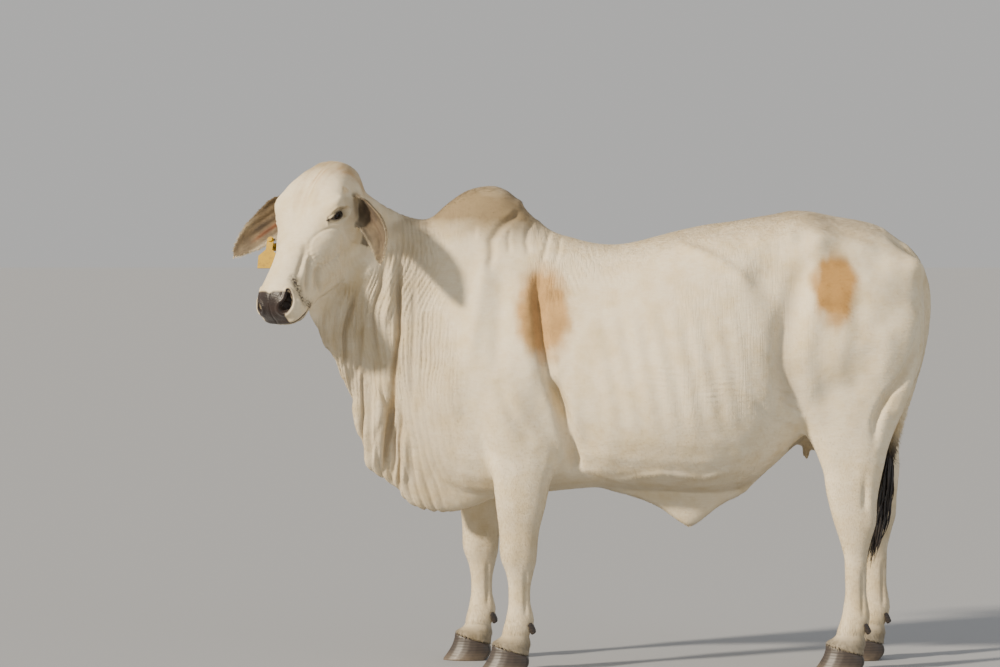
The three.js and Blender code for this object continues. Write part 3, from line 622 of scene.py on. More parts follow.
@dataclass(frozen=True)
class NeckFolds:
    """Loose skin: wrinkles down the neck, broad rolls and deep creases down the dewlap."""

    creases: tuple[Line, ...] = (
        Line(
            ((-0.700, 1.235), (-0.701, 1.147), (-0.703, 1.073), (-0.703, 0.985), (-0.713, 0.930),
             (-0.725, 0.860), (-0.731, 0.775), (-0.736, 0.680), (-0.745, 0.600), (-0.762, 0.530)),
            -0.019,
            0.0085,
            0.22,
        ),
        Line(
            ((-0.700, 0.790), (-0.705, 0.700), (-0.701, 0.613), (-0.709, 0.554), (-0.713, 0.480)),
            -0.014,
            0.007,
        ),
        Line(((-0.716, 0.740), (-0.720, 0.672), (-0.717, 0.613), (-0.731, 0.530)), -0.010, 0.006),
        Line(
            ((-0.837, 1.130), (-0.852, 1.053), (-0.860, 0.985), (-0.857, 0.927), (-0.862, 0.880)),
            -0.015,
            0.008,
        ),
        Line(
            ((-0.745, 1.214), (-0.756, 1.126), (-0.785, 1.038), (-0.776, 0.960), (-0.772, 0.880)),
            -0.010,
            0.009,
        ),
        Line(
            ((-0.806, 0.905), (-0.812, 0.840), (-0.807, 0.751), (-0.818, 0.672), (-0.812, 0.600)),
            -0.012,
            0.008,
        ),
        Line(((-0.800, 1.060), (-0.815, 0.980), (-0.822, 0.900), (-0.835, 0.840)), -0.008, 0.008),
        Line(((-0.656, 1.170), (-0.662, 1.020), (-0.668, 0.880), (-0.664, 0.760)), -0.006, 0.007),
        Line(((-0.735, 0.780), (-0.765, 0.700), (-0.790, 0.620)), -0.004, 0.007),
    )
    rolls: tuple[Line, ...] = (
        Line(((-0.768, 0.900), (-0.764, 0.780), (-0.774, 0.650), (-0.786, 0.560)), 0.018, 0.022),
        Line(((-0.842, 0.800), (-0.836, 0.720), (-0.838, 0.640)), 0.010, 0.014),
        Line(((-0.722, 1.230), (-0.730, 1.120), (-0.742, 1.000)), 0.012, 0.013),
        Line(((-0.800, 1.080), (-0.806, 0.980), (-0.800, 0.900)), 0.009, 0.014),
        Line(((-0.690, 0.700), (-0.688, 0.600), (-0.694, 0.540)), 0.008, 0.012),
    )
    spacing: float = 0.030
    depth: float = 0.0066
    fine_spacing: float = 0.0148
    fine_depth: float = 0.0042

    def zone(self, body: Array) -> Array:
        """How much a point belongs to the loose skin.

        Args:
            body: points in body coordinates.

        Returns:
            Shares from 0 to 1.
        """
        x, z = body[:, 0], body[:, 2]
        edge = -0.47 - 0.06 * step(z, 0.75, 1.15)
        neck = step(x, edge, edge - 0.14) * step(z, 1.37 - 0.35 * (x + 0.62), 1.24 - 0.35 * (x + 0.62))
        local = HEAD.local(body)
        head = step(local[:, 2], -0.16, -0.10) * step(local[:, 0], -0.05, 0.02)
        jaw = np.maximum(head, step(local[:, 0], 0.02, 0.10) * step(local[:, 2], -0.235, -0.195))
        return neck * (1.0 - jaw)

    def dewlap(self, body: Array) -> Array:
        """How much a point belongs to the dewlap below the neck."""
        x, z = body[:, 0], body[:, 2]
        return step(z, 1.10 - 1.1 * (x + 0.90), 0.96 - 1.1 * (x + 0.90)) * step(x, -0.52, -0.60)

    @staticmethod
    def valley(turn: Array, sharp: float) -> Array:
        """Narrow valleys at whole numbers, 1 at the bottom."""
        return bell((turn - np.round(turn)) / 0.5, sharp)

    def height(self, body: Array) -> tuple[Array, Array]:
        """The folds' height.

        Args:
            body: points in body coordinates.

        Returns:
            Heights, and how deep in a crease each point lies, from 0 to 1, which sets the painted shade
            there.
        """
        x, y, z = body.T
        zone = self.zone(body)
        bend = -0.10 * np.clip((-0.62 - x) / 0.27, 0.0, 1.2) ** 1.7
        apart = np.abs(y - bend) * 0.6 * step(z, 1.22, 1.02)
        warp = Noise(21).at(body, (0.14, 0.30, 0.16)) * 0.016 + Noise(22).at(body, 0.06) * 0.003
        sweep = x + apart + 0.16 * np.maximum(z - 1.16, 0.0) + warp
        strong = np.clip(0.55 + 0.6 * Noise(23).at(body, (0.05, 0.2, 0.40)), 0.0, 1.0)
        front = step(x + 0.30 * (z - 0.7), -0.60, -0.72)
        folds = self.valley(sweep / self.spacing, 0.36) * strong * (0.30 + 0.70 * front)
        fine = self.valley((sweep + warp) / self.fine_spacing, 0.42)
        gate = np.clip(0.62 + 0.7 * Noise(24).at(body, (0.03, 0.1, 0.35)), 0.0, 1.0)
        upper = step(z, 0.74, 0.90) * step(x, -0.50, -0.60)
        fine = fine * gate * (0.15 + 0.85 * upper)
        shift = body + np.stack([warp * 0.5, np.zeros(len(x)), np.zeros(len(x))], axis=1)
        deep = sum(line.at(shift[:, 0], z) for line in self.creases)
        rolls = sum(line.at(shift[:, 0], z) for line in self.rolls)
        flat = np.clip(1.0 + deep / 0.008, 0.25, 1.0)
        height = (-folds * self.depth - fine * self.fine_depth) * flat + deep + rolls
        depth = folds * 0.35 + fine * 0.25 + np.clip(-deep / 0.014, 0.0, 1.0)
        return height * zone, depth * zone


@dataclass(frozen=True)
class HumpFolds:
    """The hollow round the foot of the hump and the pleats down its rear slope."""

    lines: tuple[Line, ...] = (
        Line(((-0.640, 1.300), (-0.540, 1.292), (-0.470, 1.282)), -0.006, 0.018, 0.1),
        Line(
            ((-0.348, 1.372), (-0.366, 1.330), (-0.403, 1.297), (-0.433, 1.260), (-0.432, 1.208),
             (-0.446, 1.150)),
            -0.0085,
            0.0130,
            0.22,
        ),
        Line(((-0.304, 1.322), (-0.326, 1.289), (-0.331, 1.255), (-0.322, 1.210)), -0.0052, 0.0080),
        Line(((-0.259, 1.292), (-0.274, 1.245), (-0.289, 1.186)), -0.0050, 0.0080),
        Line(((-0.372, 1.300), (-0.384, 1.262), (-0.380, 1.215)), -0.0030, 0.0070),
        Line(((-0.226, 1.278), (-0.238, 1.230), (-0.246, 1.180)), -0.0034, 0.0070),
        Line(((-0.338, 1.376), (-0.318, 1.345), (-0.290, 1.318)), -0.0030, 0.0060),
        Line(((-0.400, 1.320), (-0.358, 1.352), (-0.336, 1.392)), 0.0040, 0.0120),
    )

    def shade(self, body: Array) -> Array:
        """The weight of painted shade in the hollows, from 0 to 1, by how deep points lie in them."""
        return np.clip(-self.height(body) / 0.0085, 0.0, 1.0) ** 1.5 * 0.55

    def height(self, body: Array) -> Array:
        """The forms' height at points in body coordinates."""
        x, z = body[:, 0] + Noise(31).at(body, 0.05) * 0.006, body[:, 2]
        return sum(line.at(x, z) for line in self.lines)


@dataclass(frozen=True)
class LegForms:
    """Bone and tendon of the lower legs."""

    def height(self, body: Array) -> Array:
        """The forms' height.

        Args:
            body: points in body coordinates.

        Returns:
            Heights above the solids' surface.
        """
        x, y, z = body.T
        low = step(z, 0.60, 0.50) * (np.abs(y) > 0.05)
        fore = step(x, 0.1, 0.0)
        middle = np.where(x < 0.1, np.where(y < 0, -0.350, -0.462), np.where(y < 0, 0.632, 0.724))
        reach = x - middle
        knee = fore * bell(z - 0.345, 0.040) * 0.004 * step(reach, 0.01, -0.03)
        tendon = bell(reach - 0.018, 0.007) * step(z, 0.15, 0.19) * step(z, 0.31, 0.27) * -0.0045
        pastern = bell(z - 0.108, 0.012) * -0.004
        coronet = bell(z - 0.082, 0.010) * 0.0025
        hock = (1.0 - fore) * bell(z - 0.44, 0.035) * 0.004 * step(reach, 0.02, 0.05)
        achilles = (1.0 - fore) * bell(reach - 0.022, 0.010) * step(z, 0.46, 0.50)
        achilles = achilles * step(z, 0.66, 0.58) * -0.008
        return (knee + tendon + pastern + coronet + hock + achilles) * low


@dataclass(frozen=True)
class EyeForm:
    """Eyeball and lids, in a frame that lies in the plane of the lids' opening."""

    spot: tuple[float, float, float] = (0.177, 0.094, -0.020)
    radius: float = 0.0210
    length: float = 0.0262
    upper: float = 0.0094
    lower: float = 0.0080
    lid: float = 0.0032
    reach: float = 0.052
    tilt: float = 0.62

    def axes(self, side: Side) -> Array:
        """Towards the outer corner, towards the brow, and out of the head.

        Args:
            side: which eye.

        Returns:
            Unit rows in head coordinates.
        """
        cos, sin = math.cos(self.tilt), math.sin(self.tilt)
        outward = np.array([0.0, side.value * 1.0, 0.16])
        corner = np.array([-cos, 0.0, -sin])
        outward = unit(outward - (outward @ corner) * corner)
        brow = np.array([-sin, 0.0, cos])
        brow = unit(brow - (brow @ outward) * outward)
        return np.array([corner, brow, outward])

    def centre(self, side: Side) -> Array:
        """The middle of the eyeball, in head coordinates."""
        a, b, c = self.spot
        return np.array([a, side.value * b, c])

    def shape(self, local: Array, side: Side) -> tuple[Array, Array]:
        """Draws the lids in skin around one eye.

        Args:
            local: points of the skin in head coordinates.
            side: which eye.

        Returns:
            The moved points, and a weight that is 1 on the lids' dark rim.
        """
        axes = self.axes(side)
        u, v, n = ((local - self.centre(side)) @ axes.T).T
        flat = np.hypot(u, v * 1.15)
        near = (flat < self.reach) & (n > 0.0)
        droop = 0.0022 * (u / self.length)
        rise = np.where(v - droop > 0.0, self.upper, self.lower)
        bow = np.clip(1.0 - (np.abs(u) / self.length) ** 1.9, 0.0, 1.0)
        edge = np.where(bow > 0.0, np.abs(v - droop) / np.maximum(rise * bow, 1e-5), 9.0)
        beyond = np.maximum(np.abs(v - droop) - rise * bow, 0.0)
        beyond = np.hypot(beyond, np.maximum(np.abs(u) - self.length, 0.0) * 0.6)
        ball = np.sqrt(np.clip(self.radius**2 - u**2 * 0.50 - v**2, 0.0, None))
        dome = ball + self.lid
        crease = -0.0032 * bell(np.abs(v - droop) - (self.upper * bow + 0.0078), 0.0022)
        crease = crease * (v > 0) * step(np.abs(u), 0.038, 0.022)
        bag = -0.0020 * bell(np.abs(v - droop) - (self.lower * bow + 0.0095), 0.0024)
        bag = bag * (v < 0) * step(np.abs(u), 0.036, 0.020)
        hood = 0.0035 * bell(v - droop - self.upper * bow - 0.012, 0.0055) * step(np.abs(u), 0.040, 0.010)
        share = step(beyond, 0.017, 0.004)
        lid = n + (np.maximum(dome, 0.006) - n) * share + crease + bag + hood
        tear = bell(u + self.length + 0.009, 0.012) * bell(v - droop + 0.10 * (u + self.length), 0.0030)
        corner = tear * -0.0034
        height = np.where(edge < 1.0, ball - 0.0045, lid + corner)
        height = np.where(near, height, n)
        rim = bell(beyond, 0.0058) * (edge >= 1.0) * near + (edge < 1.0) * near
        rim = np.clip(rim + 0.55 * tear * near, 0.0, 1.0)
        return local + (height - n)[:, None] * axes[2], rim


@dataclass(frozen=True)
class FaceForms:
    """Bone, muscle, nostrils and lips."""

    nostril: tuple[tuple[float, float, float], ...] = (
        (0.485, 0.046, -0.044),
        (0.470, 0.068, -0.040),
        (0.441, 0.060, -0.017),
    )
    nostril_wide: float = 0.0135
    nostril_narrow: float = 0.0075
    nostril_depth: float = 0.024
    mouth: Path2 = ((0.520, -0.105), (0.500, -0.103), (0.470, -0.106), (0.446, -0.113), (0.428, -0.122))
    band: Path2 = ((0.398, -0.026), (0.420, -0.046), (0.434, -0.076), (0.430, -0.104), (0.420, -0.128))
    grooves: tuple[Line, ...] = (
        Line(((0.276, 0.002), (0.312, -0.014), (0.345, -0.022), (0.398, -0.030)), -0.0086, 0.0074),
        Line(((0.306, -0.028), (0.336, -0.043), (0.372, -0.064), (0.410, -0.084)), -0.0086, 0.0074),
        Line(((0.306, -0.070), (0.330, -0.084), (0.352, -0.112), (0.362, -0.150)), -0.0084, 0.0080),
        Line(((0.322, -0.062), (0.348, -0.092), (0.384, -0.116)), -0.0050, 0.0060),
    )
    malar: tuple[float, float] = (0.261, -0.053)
    malar_reach: float = 0.050

    def shade(self, local: Array) -> Array:
        """The weight of painted shade in the muzzle's grooves, from 0 to 1, by how deep points lie in them.
        """
        deep = sum(line.at(local[:, 0], local[:, 2]) for line in self.grooves)
        return np.clip(-deep / 0.0086, 0.0, 1.0) * (np.abs(local[:, 1]) > 0.03)

    def nostril_gap(self, local: Array) -> Array:
        """How far points are from a nostril's middle line.

        Args:
            local: points in head coordinates.

        Returns:
            0 on the middle line, 1 on the nostril's edge.
        """
        mirrored = local * np.array([1.0, 0.0, 1.0])
        mirrored[:, 1] = np.abs(local[:, 1])
        start, bend, end = (np.array(p) for p in self.nostril)
        best = np.full(len(local), 9.0)
        for t in np.linspace(0.0, 1.0, 17):
            centre = (1 - t) ** 2 * start + 2 * t * (1 - t) * bend + t * t * end
            radius = self.nostril_wide + (self.nostril_narrow - self.nostril_wide) * t
            best = np.minimum(best, np.linalg.norm(mirrored - centre, axis=1) / radius)
        return best

    def mouth_gap(self, local: Array) -> Array:
        """How far points are from the line between the lips."""
        gap, _ = to_path(local[:, 0], local[:, 2], self.mouth)
        return np.where(local[:, 0] > 0.36, gap, 1.0)

    def height(self, local: Array, normal: Array) -> Array:
        """The forms' height.

        Args:
            local: points in head coordinates.
            normal: outward directions in head coordinates.

        Returns:
            Heights above the solids' surface.
        """
        a, b, c = local.T
        wide = np.abs(b)
        side = np.clip(np.abs(normal[:, 1]), 0.0, 1.0)
        face = step(a, -0.05, 0.0) * step(c, -0.26, -0.22)
        total = np.zeros(len(local))
        for path, height, reach in (
            (((0.310, -0.020), (0.345, -0.034), (0.392, -0.052)), 0.0016, 0.0090),
            (((0.322, -0.054), (0.352, -0.074), (0.400, -0.100)), 0.0016, 0.0090),
            (((0.215, -0.080), (0.250, -0.125), (0.270, -0.170)), -0.0050, 0.010),
            (((0.060, -0.160), (0.120, -0.205), (0.200, -0.214), (0.300, -0.188)), 0.0070, 0.014),
            (((0.090, -0.080), (0.130, -0.110), (0.170, -0.130)), -0.0050, 0.015),
            (((0.115, 0.006), (0.150, 0.016), (0.195, 0.012)), 0.0050, 0.010),
            (((0.440, -0.050), (0.462, -0.070), (0.466, -0.096)), 0.0035, 0.0140),
        ):
            total += Line(path, height, reach, 0.25).at(a, c) * side
        total += sum(line.at(a, c) for line in self.grooves) * side
        away = np.hypot((a - self.malar[0]) * 0.92, (c - self.malar[1]) * 1.12)
        dome = 0.0046 * step(away, self.malar_reach, 0.020)
        tucks = np.cos(2.0 * np.pi * (a + 0.45 * c + 0.006 * Noise(44).at(local, 0.03)) / 0.0115) * 0.0009
        total += tucks * step(a, 0.19, 0.24) * step(a, 0.34, 0.30) * step(c, -0.045, -0.075) * side
        ring = bell(away - self.malar_reach - 0.002, 0.0046)
        pleat = np.cos(2.0 * np.pi * (c - 0.35 * a) / 0.0125) * 0.0005 * bell(away - self.malar_reach, 0.012)
        pleat = pleat * step(a, 0.27, 0.30)
        total += (dome - 0.0032 * ring + pleat) * side
        seam, _ = to_path(a, c, self.band)
        pucker = np.cos(2.0 * np.pi * (a - 0.3 * c + 0.004 * Noise(43).at(local, 0.02)) / 0.0072) * 0.0013
        total += (pucker - 0.0024) * bell(seam, 0.010) * side
        front = step(normal[:, 2], 0.3, 0.8)
        total -= 0.0016 * bell(b, 0.0030) * step(a, 0.452, 0.462)
        total += front * 0.0040 * bell(wide - 0.040, 0.016) * step(a, 0.02, 0.06) * step(a, 0.20, 0.14)
        total += front * -0.0036 * bell(wide, 0.016) * step(a, 0.09, 0.14) * step(a, 0.30, 0.22)
        total += 0.004 * bell(a + 0.004, 0.020) * bell(wide - 0.044, 0.018) * (c > -0.08)
        gap = self.nostril_gap(local)
        total += 0.0036 * bell(gap - 1.55, 0.50) * step(gap, 0.95, 1.2)
        total -= self.nostril_depth * step(gap, 1.12, 0.55)
        lips = self.mouth_gap(local)
        total += 0.0042 * bell(lips - 0.013, 0.008) * step(a, 0.38, 0.43) * (c > -0.115)
        total -= 0.0050 * bell(lips, 0.0026) * (0.25 + 0.75 * step(a, 0.43, 0.47))
        total -= 0.0040 * step(-c, 0.108, 0.118) * step(a, 0.455, 0.480)
        total += 0.004 * bell(a - 0.455, 0.030) * bell(c + 0.135, 0.014) * step(wide, 0.05, 0.02)
        total += Noise(41).at(local, 0.030) * 0.0009 + Noise(42).at(local, 0.010) * 0.0003
        return total * face


@dataclass
class Skin:
    """One closed skin over all the solids of flesh."""

    voxel: float = 0.0046
    overlap: float = 0.0008
    coat_depth: float = 0.0012
    passes: int = 110
    trunk: TrunkForms = field(default_factory=TrunkForms)
    neck: NeckFolds = field(default_factory=NeckFolds)
    hump: HumpFolds = field(default_factory=HumpFolds)
    legs: LegForms = field(default_factory=LegForms)
    eye: EyeForm = field(default_factory=EyeForm)
    face: FaceForms = field(default_factory=FaceForms)
    flesh: tuple[str, ...] = (
        "trunk", "hump", "neck", "head", "dewlap", "navel_flap", "udder", "tail",
        "ear_left", "ear_right", "foreleg_left", "foreleg_right", "hindleg_left", "hindleg_right",
    )

    def gathered(self) -> bpy.types.Mesh:
        """The flesh solids and eyeballs as one mesh, each grown a little so that neighbours overlap.

        Returns:
            The mesh.
        """
        work = bmesh.new()
        for name in (*self.flesh, "eye_left", "eye_right"):
            one = bmesh.new()
            one.from_mesh(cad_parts[name].data)
            bmesh.ops.remove_doubles(one, verts=one.verts, dist=1e-5)
            bmesh.ops.recalc_face_normals(one, faces=one.faces)
            one.normal_update()
            for vertex in one.verts:
                vertex.co += vertex.normal * self.overlap
            copy = bpy.data.meshes.new("solid_copy")
            one.to_mesh(copy)
            one.free()
            work.from_mesh(copy)
            bpy.data.meshes.remove(copy)
        mesh = bpy.data.meshes.new("flesh")
        work.to_mesh(mesh)
        work.free()
        return mesh

    def remeshed(self, mesh: bpy.types.Mesh) -> bpy.types.Mesh:
        """The mesh rebuilt as one even closed surface.

        Args:
            mesh: the gathered solids.

        Returns:
            The new mesh.
        """
        holder = bpy.data.objects.new("flesh", mesh)
        bpy.context.scene.collection.objects.link(holder)
        modifier = holder.modifiers.new("even", "REMESH")
        modifier.mode = "VOXEL"
        modifier.voxel_size = self.voxel * 1.0
        modifier.adaptivity = 0.0
        depsgraph = bpy.context.evaluated_depsgraph_get()
        made = bpy.data.meshes.new_from_object(holder.evaluated_get(depsgraph))
        bpy.data.objects.remove(holder)
        largest_piece(made)
        return made

    @staticmethod
    def head_share(body: Array) -> Array:
        """How much a point belongs to the head.

        Args:
            body: points in body coordinates.

        Returns:
            Shares from 0 to 1.
        """
        a, b, c = HEAD.local(body).T
        inside = step(a, -0.07, -0.03) * step(c, -0.25, -0.21) * step(np.abs(b), 0.150, 0.130)
        return inside * step(a + 0.6 * c, -0.20, -0.14)

    @staticmethod
    def ear_share(body: Array) -> Array:
        """How much a point belongs to an ear.

        Args:
            body: points in body coordinates.

        Returns:
            Shares from 0 to 1.
        """
        total = np.zeros(len(body))
        for ear in EARS.values():
            share, back, across = ear.place(body)
            near = (share < 1.06) & (np.hypot(back, across) < ear.reach)
            total = np.maximum(total, step(share, 0.16, 0.26) * near)
        return total

    def softness(self, body: Array) -> Array:
        """How far each point moves in one smoothing pass.

        Args:
            body: points in body coordinates.

        Returns:
            Shares of the way to the middle of the neighbours.
        """
        x, y, z = body.T
        share = np.full(len(body), 0.60)
        leg = step(z, 0.82, 0.60) * (np.abs(y) > 0.045)
        share = share + (0.10 - share) * leg
        share = np.where(z < 0.13, share * step(z, 0.05, 0.13) + 0.01, share)
        low = self.neck.dewlap(body)
        share = share + (0.12 + 0.30 * step(x, -0.76, -0.66) - share) * low
        under = step(z, 0.545, 0.515) * (np.abs(y) < 0.07) * (x > -0.2)
        share = share + (0.12 - share) * under
        bag = step(z, 0.76, 0.72) * (np.abs(y) < 0.10) * (x > 0.44) * (x < 0.68)
        share = share + (0.12 - share) * bag
        tail = (x > 0.72) * (np.abs(y) < 0.045)
        share = np.where(tail, 0.10, share)
        share = share + (0.11 - share) * self.head_share(body)
        return share + (0.02 - share) * self.ear_share(body)

    def refine(self, mesh: bpy.types.Mesh, chosen: Array) -> None:
        """Divides the faces at chosen vertices in four.

        Args:
            mesh: the mesh to change.
            chosen: True for each vertex in the finer part.
        """
        work = bmesh.new()
        work.from_mesh(mesh)
        faces = [f for f in work.faces if all(chosen[v.index] for v in f.verts)]
        edges = list({e for f in faces for e in f.edges})
        bmesh.ops.subdivide_edges(work, edges=edges, cuts=1, use_grid_fill=True)
        work.to_mesh(mesh)
        work.free()

    def fine_spots(self, body: Array) -> Array:
        """Finds the points around eyes, nostrils and lips.

        Args:
            body: points in body coordinates.

        Returns:
            True at those points.
        """
        local = HEAD.local(body)
        chosen = self.face.nostril_gap(local) < 3.6
        chosen |= (self.face.mouth_gap(local) < 0.016) & (self.head_share(body) > 0.5)
        for side in Side:
            chosen |= np.linalg.norm(local - self.eye.centre(side), axis=1) < 0.050
        return chosen

    def ear_forms(self, body: Array, normal: Array) -> tuple[Array, Array]:
        """Ridges inside the ears.

        Args:
            body: points in body coordinates.
            normal: outward directions.

        Returns:
            Heights, and how much each point is on an ear's inner face.
        """
        height = np.zeros(len(body))
        inner = np.zeros(len(body))
        for ear in EARS.values():
            share, back, across = ear.place(body)
            here = (share > 0.10) & (share < 1.05) & (np.hypot(back, across) < ear.reach)
            faces_front = step(-(normal @ ear.back), -0.15, 0.35)
            zone = here * faces_front
            ridges = np.cos(2.0 * np.pi * across / 0.019) * 0.0016
            ridges = ridges * step(share, 0.14, 0.24) * step(share, 0.85, 0.6)
            height += ridges * zone
            inner = np.maximum(inner, zone * step(share, 0.10, 0.20))
        return height, inner

    def marks(self, body: Array, normal: Array, crease: Array, rim: Array, inner: Array) -> dict[Mark, Array]:
        """The markings at points of the skin, painted shade and painted light among them.

        Args:
            body: points in body coordinates.
            normal: outward directions.
            crease: how deep in a furrow each point lies, which sets the painted shade there.
            rim: how much each point is on the rim of a lid.
            inner: how much each point is on an ear's inner face.

        Returns:
            One weight from 0 to 1 for each mark and point.
        """
        x, y, z = body.T
        local = HEAD.local(body)
        a, b, c = local.T
        head = self.head_share(body)
        cloud = Noise(51).at(body, 0.11)
        small = Noise(52).at(body, 0.035)
        grain = Noise(53).at(body, (0.012, 0.012, 0.05))
        grey = step(z, 1.22, 1.37) * step(x, -0.20, -0.32) * (1.0 - head) * 0.95
        grey = np.maximum(grey, step(z, 1.20, 1.36) * 0.45 * (1.0 - head))
        grey = np.maximum(grey, self.neck.zone(body) * 0.28)
        grey = np.maximum(grey, step(z, 0.62, 0.30) * 0.30)
        grey = np.maximum(grey, head * step(a, 0.10, -0.02) * 0.40)
        grey = np.clip(grey * (1.0 + 0.35 * cloud + 0.25 * small) + 0.10 * np.maximum(cloud, 0.0), 0.0, 1.0)
        tan = np.zeros(len(body))
        for cx, cz, rx, rz, full in ((-0.283, 1.050, 0.094, 0.150, 0.85), (0.562, 1.120, 0.072, 0.116, 0.95)):
            gap = np.hypot((x - cx) / rx, (z - cz) / rz) + 0.12 * small + 0.06 * grain
            tan = np.maximum(tan, step(gap, 1.12, 0.62) * full * (y < -0.05))
        streak = Noise(55).at(local, (0.060, 0.008, 0.030))
        brow = bell(b - 0.022, 0.040) * step(a, 0.23, 0.12) * head * (c > -0.03)
        brow = np.maximum(brow, bell(a - 0.020, 0.030) * bell(b - 0.070, 0.030) * head)
        tan = np.maximum(tan, np.clip(brow * (0.20 + 0.38 * streak + 0.3 * small), 0.0, 0.6))
        pad = step(np.abs(b) + 0.003 * small - 0.5 * np.clip(c + 0.045, -0.02, 0.012), 0.0600, 0.0545)
        notch = 0.007 * bell(b, 0.009) + 0.10 * np.maximum(np.abs(b) - 0.030, 0.0) - 0.006 * small
        pad = pad * step(a - 0.5 * c - notch, 0.449, 0.458)
        pad = pad * step(c + 0.003 * small, -0.104, -0.096)
        nose = np.clip(np.maximum(pad, step(self.face.nostril_gap(local), 1.50, 1.15)), 0.0, 1.0) * head
        # A dark line of painted shade between the lips.
        lips = bell(self.face.mouth_gap(local), 0.0045) * head * step(a, 0.40, 0.46)
        specks = step(Noise(54).at(body, 0.0048) + 0.30 * small, -0.16, 0.20)
        seam, _ = to_path(a, c, self.face.band)
        corner = bell(seam, 0.013) * head * (0.40 + 0.60 * specks) * (np.abs(b) > 0.040) * 0.95
        # Painted shade on the chin, which lies in the upper lip's shadow.
        painted_chin_shade = step(-c, 0.106, 0.116) * step(a, 0.440, 0.470) * head * 0.55
        feet = step(z, 0.125, 0.085) * 0.55
        tail_end = step(z, 0.72, 0.63) * (x > 0.70) * (np.abs(y) < 0.045)
        # Dark skin of lid rims, muzzle corners, feet and tail end, with the painted shade of lips and chin.
        dark = np.clip(np.maximum.reduce([lips, corner, painted_chin_shade, feet, tail_end, rim * 0.92]), 0.0, 1.0)
        # Painted shade on surfaces under the belly that face down, mixed into the bare-skin weight with the
        # real bare skin of ears and udder.
        under = step(-normal[:, 2], 0.55, 0.95) * step(z, 0.62, 0.50) * (x > -0.3) * (np.abs(y) < 0.28)
        udder = step(z, 0.765, 0.735) * (np.abs(y) < 0.10) * (x > 0.44) * (x < 0.68)
        bare = np.clip(np.maximum.reduce([inner * 0.80, udder * 0.55, under * 0.25]), 0.0, 1.0)
        rust = np.zeros(len(body))
        for side, ear in EARS.items():
            share, back, across = ear.place(body)
            here = (share > 0.10) & (share < 1.05) & (np.hypot(back, across) < ear.reach)
            # Painted sunlight shining through the ear: a glowing ridge, strong on the far ear and faint on
            # the near one.
            ridge = bell(across + 0.004, 0.0065) * step(share, 0.16, 0.28) * step(share, 0.86, 0.66)
            rust = np.maximum(rust, here * inner * ridge * (0.75 if side is Side.RIGHT else 0.08))
            # The ear's inner face darkened: partly its darker hair, partly painted shade in the ear's hollow
            # and in the band beside the glowing ridge.
            gully = bell(across - 0.017, 0.0110) * step(share, 0.18, 0.32) * step(share, 0.92, 0.70)
            core = bell(across - 0.004, 0.019) * step(share, 1.00, 0.45) * step(share, 0.16, 0.34)
            veil = (0.42 if side is Side.RIGHT else 0.52) + 0.22 * Noise(57).at(body, (0.012, 0.012, 0.030))
            shade = np.maximum(veil, 0.80 * gully if side is Side.RIGHT else 0.50 * core)
            dark = np.maximum(dark, here * inner * shade * (0.85 + 0.3 * small))
            pale = step(np.abs(across), 0.024, 0.038) * (0.7 if side is Side.RIGHT else 0.5)
            bare = np.where(here, bare * (1.0 - pale), bare)
        return {
            Mark.GREY: grey,
            Mark.TAN: np.clip(tan, 0.0, 1.0),
            Mark.NOSE: nose,
            Mark.DARK: np.clip(dark, 0.0, 1.0),
            Mark.BARE: bare,
            Mark.RUST: np.clip(rust, 0.0, 1.0),
            Mark.CREASE: np.clip(crease, 0.0, 1.0),
            Mark.WRINKLE: self.wrinkled(body, head),
        }

    def wrinkled(self, body: Array, head: Array) -> Array:
        """Where the skin carries fine upright wrinkles: the neck most, then loin and flank.

        Args:
            body: points in body coordinates.
            head: how much each point belongs to the head.

        Returns:
            One weight from 0 to 1 for each point.
        """
        x, _, z = body.T
        neck = 0.55 * step(x, -0.47, -0.58) * step(z, 0.62, 0.86)
        withers = 0.55 * step(x, -0.36, -0.30) * step(x, 0.10, -0.04) * step(z, 1.02, 1.12)
        flank = 0.30 * step(x, 0.02, 0.12) * step(x, 0.56, 0.44) * step(z, 0.70, 0.78)
        patchy = np.clip(0.65 + 0.9 * Noise(56).at(body, (0.05, 0.05, 0.12)), 0.0, 1.0)
        bare = (1.0 - head) * (1.0 - self.ear_share(body))
        return np.clip(np.maximum.reduce([neck, withers, flank]) * patchy, 0.0, 1.0) * bare

    def build(self, material: bpy.types.Material) -> bpy.types.Object:
        """Makes the skin and puts it in place of the flesh solids.

        Args:
            material: the hide's finish.

        Returns:
            The skin.
        """
        mesh = self.remeshed(self.gathered())
        points = points_of(mesh) - SHIFT
        smooth = relax(points, edges_of(mesh), self.softness(points), self.passes)
        set_points(mesh, smooth)
        self.refine(mesh, self.head_share(smooth) > 0.3)
        body = points_of(mesh)
        self.refine(mesh, self.fine_spots(body))
        body = points_of(mesh)
        body = relax(body, edges_of(mesh), self.head_share(body) * 0.4, 6)
        set_points(mesh, body)
        normal = normals_of(mesh)
        flank = np.clip(np.abs(normal[:, 1]) * 1.4, 0.0, 1.0) * (1.0 - self.head_share(body))
        folds, crease = self.neck.height(body)
        ridges, inner = self.ear_forms(body, normal)
        plain = (1.0 - self.head_share(body)) * (1.0 - self.ear_share(body))
        trunk = self.trunk.height(body, flank) * step(body[:, 2], 0.45, 0.60) + self.trunk.rump(body, normal)
        height = (trunk + self.hump.height(body)) * plain
        height += folds * (1.0 - self.ear_share(body)) + ridges + self.legs.height(body)
        height += self.face.height(HEAD.local(body), normal @ HEAD.axes.T) * self.head_share(body)
        height -= self.coat_depth
        body = body + normal * height[:, None]
        local = HEAD.local(body)
        rim = np.zeros(len(body))
        for side in Side:
            local, one = self.eye.shape(local, side)
            rim = np.maximum(rim, one)
        body = np.where((self.head_share(body) > 0.0)[:, None], HEAD.body(local), body)
        set_points(mesh, body)
        normal = normals_of(mesh)
